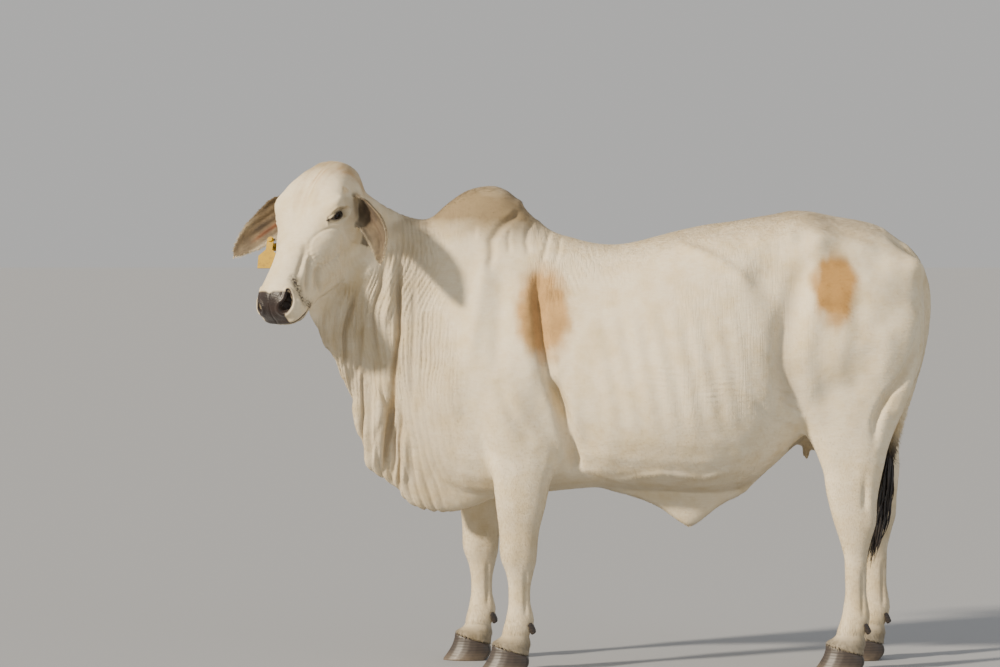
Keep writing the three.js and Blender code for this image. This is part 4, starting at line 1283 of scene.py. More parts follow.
        # Painted shade: the grooves of face, hump and trunk join the neck's folds in the crease weight, which
        # darkens the coat there.
        crease = np.maximum(crease, 0.75 * self.face.shade(HEAD.local(body)) * self.head_share(body))
        crease = np.maximum(crease, self.hump.shade(body) * plain)
        crease = np.maximum(crease, self.trunk.shade(body, flank) * plain)
        set_marks(mesh, self.marks(body, normal, crease, rim, inner))
        set_points(mesh, body + SHIFT)
        mesh.shade_smooth()
        skin = new_object("skin", mesh, material)
        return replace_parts(skin, *self.flesh)


# The coat


@dataclass(frozen=True)
class Patch:
    """One part of the coat: how many tufts, and their size."""

    name: str
    tufts: int
    length: float
    width: float


@dataclass
class Coat:
    """Short flat hair as fine tufts that lie along the body."""

    skin: Skin
    patches: tuple[Patch, ...] = (
        Patch("coat_flank_left", 56000, 0.0095, 0.0013),
        Patch("coat_flank_right", 50000, 0.0095, 0.0013),
        Patch("coat_neck", 46000, 0.0062, 0.0010),
        Patch("coat_head", 40000, 0.0042, 0.0008),
        Patch("coat_ears", 30000, 0.0062, 0.0008),
        Patch("coat_legs", 42000, 0.0080, 0.0012),
        Patch("coat_tail", 10000, 0.0190, 0.0016),
    )
    seed: int = 5

    def region(self, body: Array) -> Array:
        """The number of the patch that each point belongs to.

        Args:
            body: points in body coordinates.

        Returns:
            Places in the list of patches.
        """
        x, y, z = body.T
        region = np.where(y < 0.0, 0, 1)
        neck = (x < -0.55) | (self.skin.neck.dewlap(body) > 0.5)
        region = np.where(neck, 2, region)
        legs = (z < 0.56) & (np.abs(y) > 0.075) & ((x < -0.18) | (x > 0.40))
        region = np.where(legs, 5, region)
        region = np.where(self.skin.head_share(body) > 0.4, 3, region)
        region = np.where(self.skin.ear_share(body) > 0.15, 4, region)
        return np.where((x > 0.70) & (np.abs(y) < 0.040) & (z < 1.24), 6, region)

    def lie(self, body: Array) -> Array:
        """The direction that the hair lies in.

        Args:
            body: points in body coordinates.

        Returns:
            Unit rows in body coordinates.
        """
        x, z = body[:, 0], body[:, 2]
        flow = np.stack([np.full(len(x), 0.8), np.zeros(len(x)), np.full(len(x), -0.55)], axis=1)
        sway = Noise(61).at(body, 0.20)
        flow[:, 2] += 0.25 * sway
        down = step(z, 0.80, 0.55)[:, None]
        flow = flow * (1 - down) + np.array([0.12, 0.0, -1.0]) * down
        loose = step(self.skin.neck.zone(body), 0.0, 0.4)[:, None]
        flow = flow * (1 - loose) + np.array([0.05, 0.0, -1.0]) * loose
        local = HEAD.local(body)
        whorl = unit(np.stack([local[:, 0] - 0.16, local[:, 1], np.zeros(len(x))], axis=1)) @ HEAD.axes
        head = self.skin.head_share(body)[:, None]
        flow = flow * (1 - head) + whorl * head
        for ear in EARS.values():
            share, back, across = ear.place(body)
            here = ((share > 0.05) & (share < 1.06) & (np.hypot(back, across) < ear.reach))[:, None]
            flow = np.where(here, ear.along + ear.across * np.sign(across)[:, None] * 0.45, flow)
        return unit(flow)

    def length(self, body: Array, normal: Array, marks: dict[Mark, Array]) -> Array:
        """How long the hair is.

        Args:
            body: points in body coordinates.
            normal: outward directions.
            marks: how strong each marking is at the points.

        Returns:
            Shares of the patch's length.
        """
        x, y, z = body.T
        share = np.ones(len(x))
        share += 0.5 * step(normal[:, 2], 0.6, 0.95) * (z > 1.0)
        share += 0.6 * step(-normal[:, 2], 0.5, 0.9) * (z > 0.4) * (z < 0.75)
        share += 1.2 * bell(z - 0.125, 0.03) * (np.abs(y) > 0.05)
        share += 0.9 * bell(z - 0.078, 0.012) * (np.abs(y) > 0.05)
        head = self.skin.head_share(body)
        a, b, c = HEAD.local(body).T
        share += head * (2.2 * bell(a + 0.005, 0.03) * bell(b, 0.05) + 0.6 * step(c, -0.15, -0.20))
        share *= 1.0 - 0.55 * head * step(a, 0.30, 0.42)
        share *= 1.0 - 0.9 * marks[Mark.NOSE] * head
        share *= 1.0 - 0.5 * marks[Mark.BARE] * (1.0 - self.skin.ear_share(body))
        tail = (x > 0.70) & (np.abs(y) < 0.045)
        share = np.where(tail, share * (0.5 + 1.3 * step(z, 0.80, 0.64)), share)
        return share

    @staticmethod
    def unwrapped(points: Array, normal: Array) -> Array:
        """The skin's own unwrap: it is laid out flat from six sides, each in a cell of its own.

        Args:
            points: places on the skin.
            normal: outward directions there.

        Returns:
            Map coordinates from 0 to 1.
        """
        axis = np.abs(normal).argmax(axis=1)
        sign = np.take_along_axis(normal, axis[:, None], axis=1)[:, 0] > 0
        low, high = points.min(0), points.max(0)
        share = (points - low) / np.maximum(high - low, 1e-6)
        first = np.where(axis == 0, share[:, 1], share[:, 0])
        second = np.where(axis == 2, share[:, 1], share[:, 2])
        u = (axis + 0.02 + 0.94 * first) / 3.0
        v = (sign + 0.02 + 0.94 * second) / 2.0
        return np.stack([u, v], axis=1)

    def tufts(
        self,
        patch: Patch,
        place: Array,
        normal: Array,
        flow: Array,
        share: Array,
        rng: np.random.Generator,
    ) -> bpy.types.Mesh:
        """The mesh of many tufts, each a narrow blade of three faces that ends in a point.

        Args:
            patch: sizes.
            place: roots.
            normal: outward directions at the roots.
            flow: directions along the coat.
            share: length of each tuft as a share of the patch's.
            rng: the source of variation.

        Returns:
            The mesh, with its bake map.
        """
        count = len(place)
        swirl = rng.normal(0.0, 0.10, count)[:, None]
        across = unit(np.cross(normal, flow))
        flow = unit(flow + across * swirl)
        across = unit(np.cross(normal, flow))
        length = (patch.length * share * rng.uniform(0.7, 1.25, count))[:, None]
        half = (patch.width * 0.5 * rng.uniform(0.7, 1.25, count))[:, None]
        lift = length * rng.uniform(0.02, 0.07, count)[:, None]
        curl = across * length * rng.normal(0.0, 0.06, count)[:, None]
        root = place - normal * 0.0003
        middle = place + flow * length * 0.5 + normal * (lift * 0.8 + 0.0002) + curl * 0.4
        tip = place + flow * length + normal * (lift * 0.9 + 0.0002) + curl
        side = across * half
        points = np.stack(
            [root - side, root + side, middle - side * 0.8, middle + side * 0.8, tip],
            axis=1,
        ).reshape(-1, 3)
        each = 5
        start = np.arange(count)[:, None] * each
        faces = np.concatenate([start + (0, 1, 3), start + (0, 3, 2), start + (2, 3, 4)])
        mesh = mesh_from(patch.name, points, [faces])
        spot = self.unwrapped(place, normal)
        corner = np.array([[0.0, 0.0], [0.003, 0.0], [0.0, 0.0015], [0.003, 0.0015], [0.0015, 0.003]])
        layer = mesh.uv_layers.new(name="OFBake")
        flat = spot[faces // each] + corner[faces % each]
        layer.data.foreach_set("uv", flat.astype(np.float32).ravel())
        return mesh

    def build(self, skin: bpy.types.Object, material: bpy.types.Material) -> list[bpy.types.Object]:
        """Grows the coat on the skin.

        Args:
            skin: the finished skin.
            material: the hide's finish, which the coat shares.

        Returns:
            The coat's pieces.
        """
        mesh = skin.data
        mesh.calc_loop_triangles()
        corners = np.empty(len(mesh.loop_triangles) * 3, np.int32)
        mesh.loop_triangles.foreach_get("vertices", corners)
        corners = corners.reshape(-1, 3)
        points, normal = points_of(mesh), normals_of(mesh)
        values = {}
        for mark in Mark:
            found = np.empty(len(points), np.float32)
            mesh.attributes[mark.value].data.foreach_get("value", found)
            values[mark] = found.astype(float)
        p0, p1, p2 = (points[corners[:, k]] for k in range(3))
        area = np.linalg.norm(np.cross(p1 - p0, p2 - p0), axis=1) * 0.5
        middle = (p0 + p1 + p2) / 3.0 - SHIFT
        region = self.region(middle)
        facing = normal[corners[:, 0]]
        rims = 1.0 + 1.6 * step(np.abs(facing[:, 2]), 0.55, 0.9)
        bald = np.maximum(values[Mark.NOSE][corners[:, 0]], values[Mark.CREASE][corners[:, 0]] * 0.8)
        pieces = []
        rng = np.random.default_rng(self.seed)
        for number, patch in enumerate(self.patches):
            weight = np.where(region == number, area * rims * (1.0 - 0.95 * bald), 0.0)
            total = np.cumsum(weight)
            count = patch.tufts // 1
            chosen = np.searchsorted(total, rng.random(count) * total[-1])
            chosen = np.minimum(chosen, len(corners) - 1)
            r1, r2 = np.sqrt(rng.random(count)), rng.random(count)
            shares = np.stack([1 - r1, r1 * (1 - r2), r1 * r2], axis=1)
            at = corners[chosen]
            place = (points[at] * shares[:, :, None]).sum(axis=1)
            out = unit((normal[at] * shares[:, :, None]).sum(axis=1))
            marks = {mark: (value[at] * shares).sum(axis=1) for mark, value in values.items()}
            body = place - SHIFT
            flow = self.lie(body)
            flow = unit(flow - (flow * out).sum(axis=1, keepdims=True) * out)
            share = self.length(body, out, marks)
            made = self.tufts(patch, place, out, flow, share, rng)
            set_marks(made, {mark: np.repeat(value, 5) for mark, value in marks.items()})
            pieces.append(new_object(patch.name, made, material))
        return pieces


def locks(name: str, paths: Array, widths: Array, flatness: float, turn: Array) -> bpy.types.Mesh:
    """Flat tapered locks along paths, each closed at both ends.

    Args:
        name: the mesh's name.
        paths: places along each lock, with shape (locks, places, 3).
        widths: half width at each place, with shape (locks, places).
        flatness: the thickness as a share of the width.
        turn: a direction across each lock.

    Returns:
        The mesh.
    """
    count, rows, _ = paths.shape
    along = unit(np.gradient(paths, axis=1))
    across = unit(turn[:, None, :] - (turn[:, None, :] * along).sum(-1, keepdims=True) * along)
    out = np.cross(along, across)
    sides = 4
    rings = []
    for k in range(sides):
        angle = 2.0 * math.pi * k / sides
        offset = across * math.cos(angle) + out * (math.sin(angle) * flatness)
        rings.append(paths + offset * widths[:, :, None])
    points = np.stack(rings, axis=2).reshape(-1, 3)
    lock = np.arange(count)[:, None, None] * rows * sides
    row = np.arange(rows - 1)[None, :, None] * sides
    k = np.arange(sides)[None, None, :]
    nxt = (k + 1) % sides
    near, far = lock + row, lock + row + sides
    quads = np.stack(
        np.broadcast_arrays(near + k, near + nxt, far + nxt, far + k),
        axis=-1,
    ).reshape(-1, 4)
    first = np.arange(count)[:, None] * rows * sides
    caps = np.concatenate([first + (3, 2, 1, 0), first + (rows - 1) * sides + np.array((0, 1, 2, 3))])
    return mesh_from(name, points, [quads, caps])


@dataclass
class TailSwitch:
    """The black hair at the end of the tail."""

    start: tuple[float, float, float] = (0.744, 0.010, 0.640)
    length: float = 0.335
    spread: float = 0.026
    strands: int = 420
    rows: int = 9
    seed: int = 8

    def build(self, material: bpy.types.Material) -> bpy.types.Object:
        """Makes the switch.

        Args:
            material: the long hair's finish.

        Returns:
            The piece, which replaces the solid of the switch.
        """
        rng = np.random.default_rng(self.seed)
        count = self.strands
        angle = rng.uniform(0.0, 2.0 * math.pi, count)
        ring = np.sqrt(rng.random(count))
        drop = rng.random(count) ** 1.4 * 0.105
        out = np.stack([np.cos(angle), np.sin(angle), np.zeros(count)], axis=1)
        length = self.length * rng.uniform(0.62, 1.0, count) * (1.0 - 0.25 * ring)
        share = np.linspace(0.0, 1.0, self.rows)[None, :, None]
        start = np.array(self.start) + SHIFT
        root = start + out * 0.009 * ring[:, None] - np.array([0.13, 0.0, 1.0]) * drop[:, None]
        swell = np.sin(np.pi * np.clip(share * 0.80, 0.0, 1.0)) ** 0.9
        wave = np.sin(share * rng.uniform(5.0, 9.0, (count, 1, 1)) + rng.uniform(0, 6, (count, 1, 1)))
        clump = np.round(angle / 0.9) * 0.9
        centre = np.stack([np.cos(clump), np.sin(clump), np.zeros(count)], axis=1)
        reach = out[:, None, :] * ring[:, None, None] * self.spread
        tight = centre[:, None, :] * ring[:, None, None] * self.spread * 0.9
        pull = share**1.5 * 0.7
        path = root[:, None, :] + (reach * (1 - pull) + tight * pull) * swell
        path = path + np.array([-0.16, 0.0, -1.0]) * share * (length - drop * 0.4)[:, None, None]
        path = path + wave * 0.0035 * np.array([1.0, 0.8, 0.0]) * share
        down = share[..., 0]
        width = 0.0040 * (0.55 + 0.6 * np.sin(np.pi * down * 0.75)) * (1.0 - down**3) + 0.0003
        width = width * rng.uniform(0.55, 1.2, (count, 1))
        turn = np.cross(out, np.array([0.0, 0.0, 1.0])) + rng.normal(0, 0.3, (count, 3))
        mesh = locks("tail_hair", path, width, 0.35, turn)
        spot = Coat.unwrapped(points_of(mesh), normals_of(mesh))
        corners = np.empty(len(mesh.loops), np.int32)
        mesh.loops.foreach_get("vertex_index", corners)
        layer = mesh.uv_layers.new(name="OFBake")
        layer.data.foreach_set("uv", spot[corners].astype(np.float32).ravel())
        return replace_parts(new_object("tail_hair", mesh, material), "tail_switch")


@dataclass
class EarFringe:
    """Longer hair along the edges and in the mouth of the ears."""

    skin: Skin
    length: float = 0.0066
    width: float = 0.0006
    tufts: int = 7000
    seed: int = 9

    def build(self, skin: bpy.types.Object, material: bpy.types.Material) -> bpy.types.Object:
        """Grows the fringe.

        Args:
            skin: the finished skin.
            material: the hide's finish.

        Returns:
            The fringe of both ears.
        """
        mesh = skin.data
        points, normal = points_of(mesh), normals_of(mesh)
        body = points - SHIFT
        rng = np.random.default_rng(self.seed)
        roots, outs, flows, picks = [], [], [], []
        for ear in EARS.values():
            share, back, across = ear.place(body)
            here = (share > 0.12) & (share < 1.04) & (np.hypot(back, across) < ear.reach)
            level = np.round(share * 40).astype(int)
            for row in range(4, 42):
                at = np.flatnonzero(here & (level == row))
                if len(at) < 8:
                    continue
                edge = np.abs(across[at])
                rim = at[edge > np.quantile(edge, 0.80)]
                chosen = rng.choice(rim, max(1, self.tufts // 76))
                picks.append(chosen)
                roots.append(points[chosen] + rng.normal(0, 0.0008, (len(chosen), 3)))
                outs.append(normal[chosen])
                outward = ear.across * np.sign(across[chosen])[:, None]
                sway = ear.along * 0.9 + outward * 0.75 - ear.back * 0.25
                flows.append(sway - np.array([0.0, 0.0, 0.35]))
        place, out, flow = np.concatenate(roots), unit(np.concatenate(outs)), unit(np.concatenate(flows))
        pick = np.concatenate(picks)
        patch = Patch("ear_fringe", len(place), self.length, self.width)
        coat = Coat(self.skin)
        made = coat.tufts(patch, place, out, flow, rng.uniform(0.5, 1.2, len(place)), rng)
        marks = {}
        for mark in Mark:
            found = np.empty(len(points), np.float32)
            mesh.attributes[mark.value].data.foreach_get("value", found)
            weight = found[pick] * (0.0 if mark in (Mark.BARE, Mark.RUST) else 1.0)
            marks[mark] = np.repeat(weight, 5)
        set_marks(made, marks)
        return new_object("ear_fringe", made, material)


# Finishes


def linear(code: str) -> tuple[float, float, float, float]:
    """Turns an sRGB hex colour into linear light.

    Args:
        code: the colour, as #RRGGBB.

    Returns:
        Red, green and blue with full alpha.
    """
    parts = [int(code[i : i + 2], 16) / 255.0 for i in (1, 3, 5)]
    red, green, blue = (p / 12.92 if p <= 0.04045 else ((p + 0.055) / 1.055) ** 2.4 for p in parts)
    return red, green, blue, 1.0


def add_node(
    tree: bpy.types.NodeTree,
    kind: str,
    inputs: dict | None = None,
    **settings: object,
) -> bpy.types.Node:
    """Adds a node with its settings and links.

    Args:
        tree: the node tree.
        kind: the node's type.
        inputs: a value, or a socket to link from, for each input by name or number.
        **settings: the node's own properties.

    Returns:
        The new node.
    """
    node = tree.nodes.new(kind)
    for name, value in settings.items():
        setattr(node, name, value)
    for socket, value in (inputs or {}).items():
        if isinstance(value, bpy.types.NodeSocket):
            tree.links.new(value, node.inputs[socket])
        else:
            node.inputs[socket].default_value = value
    return node


def new_material(name: str) -> tuple[bpy.types.Material, bpy.types.NodeTree, bpy.types.Node]:
    """A material with only its output.

    Args:
        name: the material's name.

    Returns:
        The material, its node tree and its output node.
    """
    material = bpy.data.materials.new(name)
    material.use_nodes = True
    tree = material.node_tree
    tree.nodes.clear()
    return material, tree, tree.nodes.new("ShaderNodeOutputMaterial")


def mixed(tree: bpy.types.NodeTree, share: object, first: object, second: object, way: str = "MIX") -> object:
    """A blend of two colours.

    Args:
        tree: the node tree.
        share: how much of the second colour.
        first: a colour or socket.
        second: a colour or socket.
        way: how they blend.

    Returns:
        The socket with the result.
    """
    node = add_node(
        tree,
        "ShaderNodeMix",
        {0: share, 6: first, 7: second},
        data_type="RGBA",
        blend_type=way,
        clamp_factor=True,
    )
    return node.outputs[2]


@dataclass(frozen=True)
class ShortCoat:
    """Short cattle hair over loose skin: dull, off-white, with soft clouds of warmer and greyer hair, painted
    shade in creases, under the belly, along the mouth and in the ears, and painted sunlight glowing through
    the far ear.
    """

    coat: str = "#F0E3C6"
    coat_warm: str = "#E2CFA6"
    grey: str = "#94805F"
    tan: str = "#BF8E45"
    tan_deep: str = "#A07434"
    nose: str = "#1D1513"
    nose_brown: str = "#30221C"
    # dark skin, also used for painted shade along and under the mouth and in the ears' hollows
    dark: str = "#3A322E"
    # bare skin of ears and udder, also used for painted shade under the belly
    bare: str = "#6C5739"
    # painted sunlight shining through the far ear
    rust: str = "#8E4A1C"
    # painted shade in folds and creases
    crease: str = "#7A6448"
    cloud: float = 0.070  # clouds of warmer hair
    streak: float = 0.0045  # bundles of hair, drawn wider than the 0.1 mm hairs so that they show
    pebble: float = 0.0042  # the pads of the nose
    wrinkle: float = 0.0125  # fine upright wrinkles of loose skin
    roughness: float = 0.78
    wet: float = 0.42

    def material(self) -> bpy.types.Material:
        """Makes the finish of skin and coat.

        Returns:
            The material.
        """
        material, tree, output = new_material("short cattle hair on skin")
        place = add_node(tree, "ShaderNodeTexCoord").outputs["Object"]
        weight = {
            mark: add_node(tree, "ShaderNodeAttribute", attribute_name=mark.value).outputs["Fac"]
            for mark in Mark
        }
        cloud = add_node(
            tree,
            "ShaderNodeTexNoise",
            {"Vector": place, "Scale": 1.0 / self.cloud, "Detail": 5.0, "Roughness": 0.6},
        ).outputs["Fac"]
        spread = add_node(tree, "ShaderNodeMapRange", {0: cloud, 1: 0.42, 2: 0.72}).outputs[0]
        drawn = add_node(
            tree,
            "ShaderNodeMapping",
            {"Vector": place, "Rotation": (0.0, 0.55, 0.0), "Scale": (1.0, 1.0, 5.0)},
        ).outputs[0]
        hair = add_node(
            tree, "ShaderNodeTexNoise", {"Vector": drawn, "Scale": 0.2 / self.streak, "Detail": 4.0}
        ).outputs["Fac"]
        fine = add_node(tree, "ShaderNodeMapRange", {0: hair, 1: 0.35, 2: 0.70, 3: 0.0, 4: 0.30}).outputs[0]
        base = mixed(tree, spread, linear(self.coat), linear(self.coat_warm))
        base = mixed(tree, fine, base, linear(self.coat_warm))
        base = mixed(tree, weight[Mark.GREY], base, linear(self.grey))
        deep = mixed(tree, spread, linear(self.tan), linear(self.tan_deep))
        base = mixed(tree, weight[Mark.TAN], base, deep)
        # Bare skin, with painted shade under the belly.
        base = mixed(tree, weight[Mark.BARE], base, linear(self.bare))
        # Painted sunlight shining through the far ear.
        base = mixed(tree, weight[Mark.RUST], base, linear(self.rust))
        # Dark skin, with painted shade along the mouth and in the ears' hollows.
        base = mixed(tree, weight[Mark.DARK], base, linear(self.dark))
        # Painted shade in folds and creases.
        shade = add_node(
            tree, "ShaderNodeMath", {0: weight[Mark.CREASE], 1: 0.42}, operation="MULTIPLY", use_clamp=True
        ).outputs[0]
        base = mixed(tree, shade, base, linear(self.crease))
        pebble = add_node(
            tree, "ShaderNodeTexVoronoi", {"Vector": place, "Scale": 1.0 / self.pebble}, feature="SMOOTH_F1"
        ).outputs["Distance"]
        patchy = mixed(tree, spread, linear(self.nose), linear(self.nose_brown))
        base = mixed(tree, weight[Mark.NOSE], base, patchy)
        rough = add_node(
            tree, "ShaderNodeMapRange", {0: weight[Mark.NOSE], 3: self.roughness, 4: self.wet}
        ).outputs[0]
        bumps = add_node(
            tree, "ShaderNodeMix", {0: weight[Mark.NOSE], 2: hair, 3: pebble}, data_type="FLOAT"
        ).outputs[0]
        bump = add_node(
            tree, "ShaderNodeBump", {"Height": bumps, "Strength": 0.45, "Distance": 0.0016}
        ).outputs[0]
        sway = add_node(
            tree,
            "ShaderNodeMapping",
            {"Vector": place, "Rotation": (0.0, -0.10, 0.0), "Scale": (1.0, 0.4, 0.055)},
        ).outputs[0]
        hills = add_node(
            tree, "ShaderNodeTexNoise", {"Vector": sway, "Scale": 1.0 / self.wrinkle, "Detail": 1.0}
        ).outputs["Fac"]
        level = add_node(tree, "ShaderNodeMath", {0: hills, 1: 0.5}, operation="SUBTRACT").outputs[0]
        level = add_node(tree, "ShaderNodeMath", {0: level}, operation="ABSOLUTE").outputs[0]
        furrows = add_node(tree, "ShaderNodeMapRange", {0: level, 1: 0.0, 2: 0.11}).outputs[0]
        depth = add_node(
            tree, "ShaderNodeMath", {0: furrows, 1: weight[Mark.WRINKLE]}, operation="MULTIPLY"
        ).outputs[0]
        bump = add_node(
            tree, "ShaderNodeBump", {"Height": depth, "Strength": 0.62, "Distance": 0.0024, "Normal": bump}
        ).outputs[0]
        shader = add_node(
            tree,
            "ShaderNodeBsdfPrincipled",
            {
                "Base Color": base,
                "Roughness": rough,
                "Normal": bump,
                "IOR": 1.45,
                "Sheen Weight": 0.12,
                "Sheen Roughness": 0.5,
            },
        )
        tree.links.new(shader.outputs[0], output.inputs["Surface"])
        return material


@dataclass(frozen=True)
class TailHair:
    """Coarse black tail hair: glossy along each strand, with browner dusty strands."""

    black: str = "#171312"
    brown: str = "#3A2E27"
    strand: float = 0.003  # streaks of several hairs, drawn coarser than the 0.2 mm hairs so that they show

    def material(self) -> bpy.types.Material:
        """Makes the finish.

        Returns:
            The material.
        """
        material, tree, output = new_material("coarse tail hair")
        place = add_node(tree, "ShaderNodeTexCoord").outputs["Object"]
        drawn = add_node(tree, "ShaderNodeMapping", {"Vector": place, "Scale": (1.0, 1.0, 0.06)}).outputs[0]
        streak = add_node(
            tree, "ShaderNodeTexNoise", {"Vector": drawn, "Scale": 1.0 / self.strand, "Detail": 3.0}
        ).outputs["Fac"]
        share = add_node(tree, "ShaderNodeMapRange", {0: streak, 1: 0.45, 2: 0.75}).outputs[0]
        bump = add_node(
            tree, "ShaderNodeBump", {"Height": streak, "Strength": 0.5, "Distance": 0.001}
        ).outputs[0]
        shader = add_node(
            tree,
            "ShaderNodeBsdfPrincipled",
            {
                "Base Color": mixed(tree, share, linear(self.black), linear(self.brown)),
                "Roughness": 0.42,
                "Normal": bump,
                "IOR": 1.55,
            },
        )
        tree.links.new(shader.outputs[0], output.inputs["Surface"])
        return material


@dataclass(frozen=True)
class Horn:
    """Keratin of the claws: dark, with paler growth rings and a worn, dusty lower edge."""

    dark: str = "#332C28"
    ring: str = "#5E5247"
    dust: str = "#8A7A66"
    ring_gap: float = 0.008  # growth rings, drawn a little wider than real ones so that they show
    speck: float = 1.0 / 60.0  # patches of dust, about 17 mm wide

    def material(self) -> bpy.types.Material:
        """Makes the finish.

        Returns:
            The material.
        """
        material, tree, output = new_material("hoof horn")
        place = add_node(tree, "ShaderNodeTexCoord").outputs["Object"]
        rings = add_node(
            tree,
            "ShaderNodeTexWave",
            {
                "Vector": place,
                "Scale": 0.314 / self.ring_gap,
                "Distortion": 1.6,
                "Detail": 2.0,
                "Detail Scale": 0.6,
            },
            bands_direction="Z",
        ).outputs["Fac"]
        spots = add_node(
            tree, "ShaderNodeTexNoise", {"Vector": place, "Scale": 1.0 / self.speck, "Detail": 4.0}
        ).outputs["Fac"]
        high = add_node(tree, "ShaderNodeSeparateXYZ", {0: place}).outputs[2]
        low = add_node(tree, "ShaderNodeMapRange", {0: high, 1: 0.030, 2: 0.0, 3: 0.0, 4: 0.8}).outputs[0]
        worn = add_node(tree, "ShaderNodeMath", {0: low, 1: spots}, operation="MULTIPLY").outputs[0]
        faint = add_node(tree, "ShaderNodeMath", {0: rings, 1: 0.22}, operation="MULTIPLY").outputs[0]
        base = mixed(tree, faint, linear(self.dark), linear(self.ring))
        base = mixed(tree, worn, base, linear(self.dust))
        bump = add_node(
            tree, "ShaderNodeBump", {"Height": rings, "Strength": 0.16, "Distance": 0.0010}
        ).outputs[0]
        shader = add_node(
            tree,
            "ShaderNodeBsdfPrincipled",
            {"Base Color": base, "Roughness": 0.46, "Normal": bump, "IOR": 1.54},
        )
        tree.links.new(shader.outputs[0], output.inputs["Surface"])
        return material


@dataclass(frozen=True)
class TagPlastic:
    """Moulded polyurethane, bright yellow, dulled by dust and grime in smears."""

    yellow: str = "#C09A00"
    deep: str = "#A88200"
    grime: str = "#6E5620"
    smear: float = 1.0 / 45.0  # smears of grime, about 22 mm wide

    def material(self) -> bpy.types.Material:
        """Makes the finish.

        Returns:
            The material.
        """
        material, tree, output = new_material("moulded polyurethane")
        place = add_node(tree, "ShaderNodeTexCoord").outputs["Object"]
        smear = add_node(
            tree,
            "ShaderNodeTexNoise",
            {"Vector": place, "Scale": 1.0 / self.smear, "Detail": 6.0, "Roughness": 0.65},
        ).outputs["Fac"]
        soft = add_node(tree, "ShaderNodeMapRange", {0: smear, 1: 0.40, 2: 0.70}).outputs[0]
        dirt = add_node(tree, "ShaderNodeMapRange", {0: smear, 1: 0.56, 2: 0.74, 3: 0.0, 4: 0.7}).outputs[0]
        base = mixed(tree, soft, linear(self.yellow), linear(self.deep))
        base = mixed(tree, dirt, base, linear(self.grime))
        rough = add_node(tree, "ShaderNodeMapRange", {0: smear, 3: 0.32, 4: 0.62}).outputs[0]
        bump = add_node(
            tree, "ShaderNodeBump", {"Height": smear, "Strength": 0.2, "Distance": 0.0005}
        ).outputs[0]
        shader = add_node(
            tree,
            "ShaderNodeBsdfPrincipled",
            {"Base Color": base, "Roughness": rough, "Normal": bump, "IOR": 1.5},
        )
        tree.links.new(shader.outputs[0], output.inputs["Surface"])
        return material


@dataclass(frozen=True)
class WetEye:
    """A living eye: dark brown iris, wide level pupil and white that hardly shows, all under a tear film."""

    iris: str = "#2A1A10"
    rim: str = "#0D0907"
    white: str = "#8C7A68"
    pupil: str = "#030303"

    def material(self, side: Side) -> bpy.types.Material:
        """Makes the finish of one eye.

        Args:
            side: which eye.

        Returns:
            The material.
        """
        material, tree, output = new_material(f"wet eye {side.word}")
        place = add_node(tree, "ShaderNodeAttribute", attribute_name="eye_place").outputs["Vector"]
        gap = add_node(
            tree, "ShaderNodeVectorMath", {0: place, 1: (1.0, 1.0, 0.0)}, operation="MULTIPLY"
        ).outputs[0]
        far = add_node(tree, "ShaderNodeVectorMath", {0: gap}, operation="LENGTH").outputs[1]
        level = add_node(
            tree, "ShaderNodeVectorMath", {0: gap, 1: (0.62, 1.35, 0.0)}, operation="MULTIPLY"
        ).outputs[0]
        slit = add_node(tree, "ShaderNodeVectorMath", {0: level}, operation="LENGTH").outputs[1]
        to_white = add_node(tree, "ShaderNodeMapRange", {0: far, 1: 0.62, 2: 0.76}).outputs[0]
        to_rim = add_node(tree, "ShaderNodeMapRange", {0: far, 1: 0.42, 2: 0.62}).outputs[0]
        to_pupil = add_node(tree, "ShaderNodeMapRange", {0: slit, 1: 0.24, 2: 0.20}).outputs[0]
        base = mixed(tree, to_rim, linear(self.iris), linear(self.rim))
        base = mixed(tree, to_white, base, linear(self.white))
        base = mixed(tree, to_pupil, base, linear(self.pupil))
        shader = add_node(
            tree,
            "ShaderNodeBsdfPrincipled",
            {"Base Color": base, "Roughness": 0.05, "IOR": 1.376},
        )
        tree.links.new(shader.outputs[0], output.inputs["Surface"])
        return material


@dataclass(frozen=True)
class MattePaint:
    """Flat pale paint on the studio floor: no gloss, so it takes only soft shadows."""

    colour: str = "#A6A9AE"

    def material(self) -> bpy.types.Material:
        """Makes the finish.

        Returns:
            The material.
        """
        material, tree, output = new_material("flat pale paint")
        shader = add_node(
            tree,
            "ShaderNodeBsdfPrincipled",
            {"Base Color": linear(self.colour), "Roughness": 0.95, "IOR": 1.45},
        )
        tree.links.new(shader.outputs[0], output.inputs["Surface"])
        return material


# Separate pieces


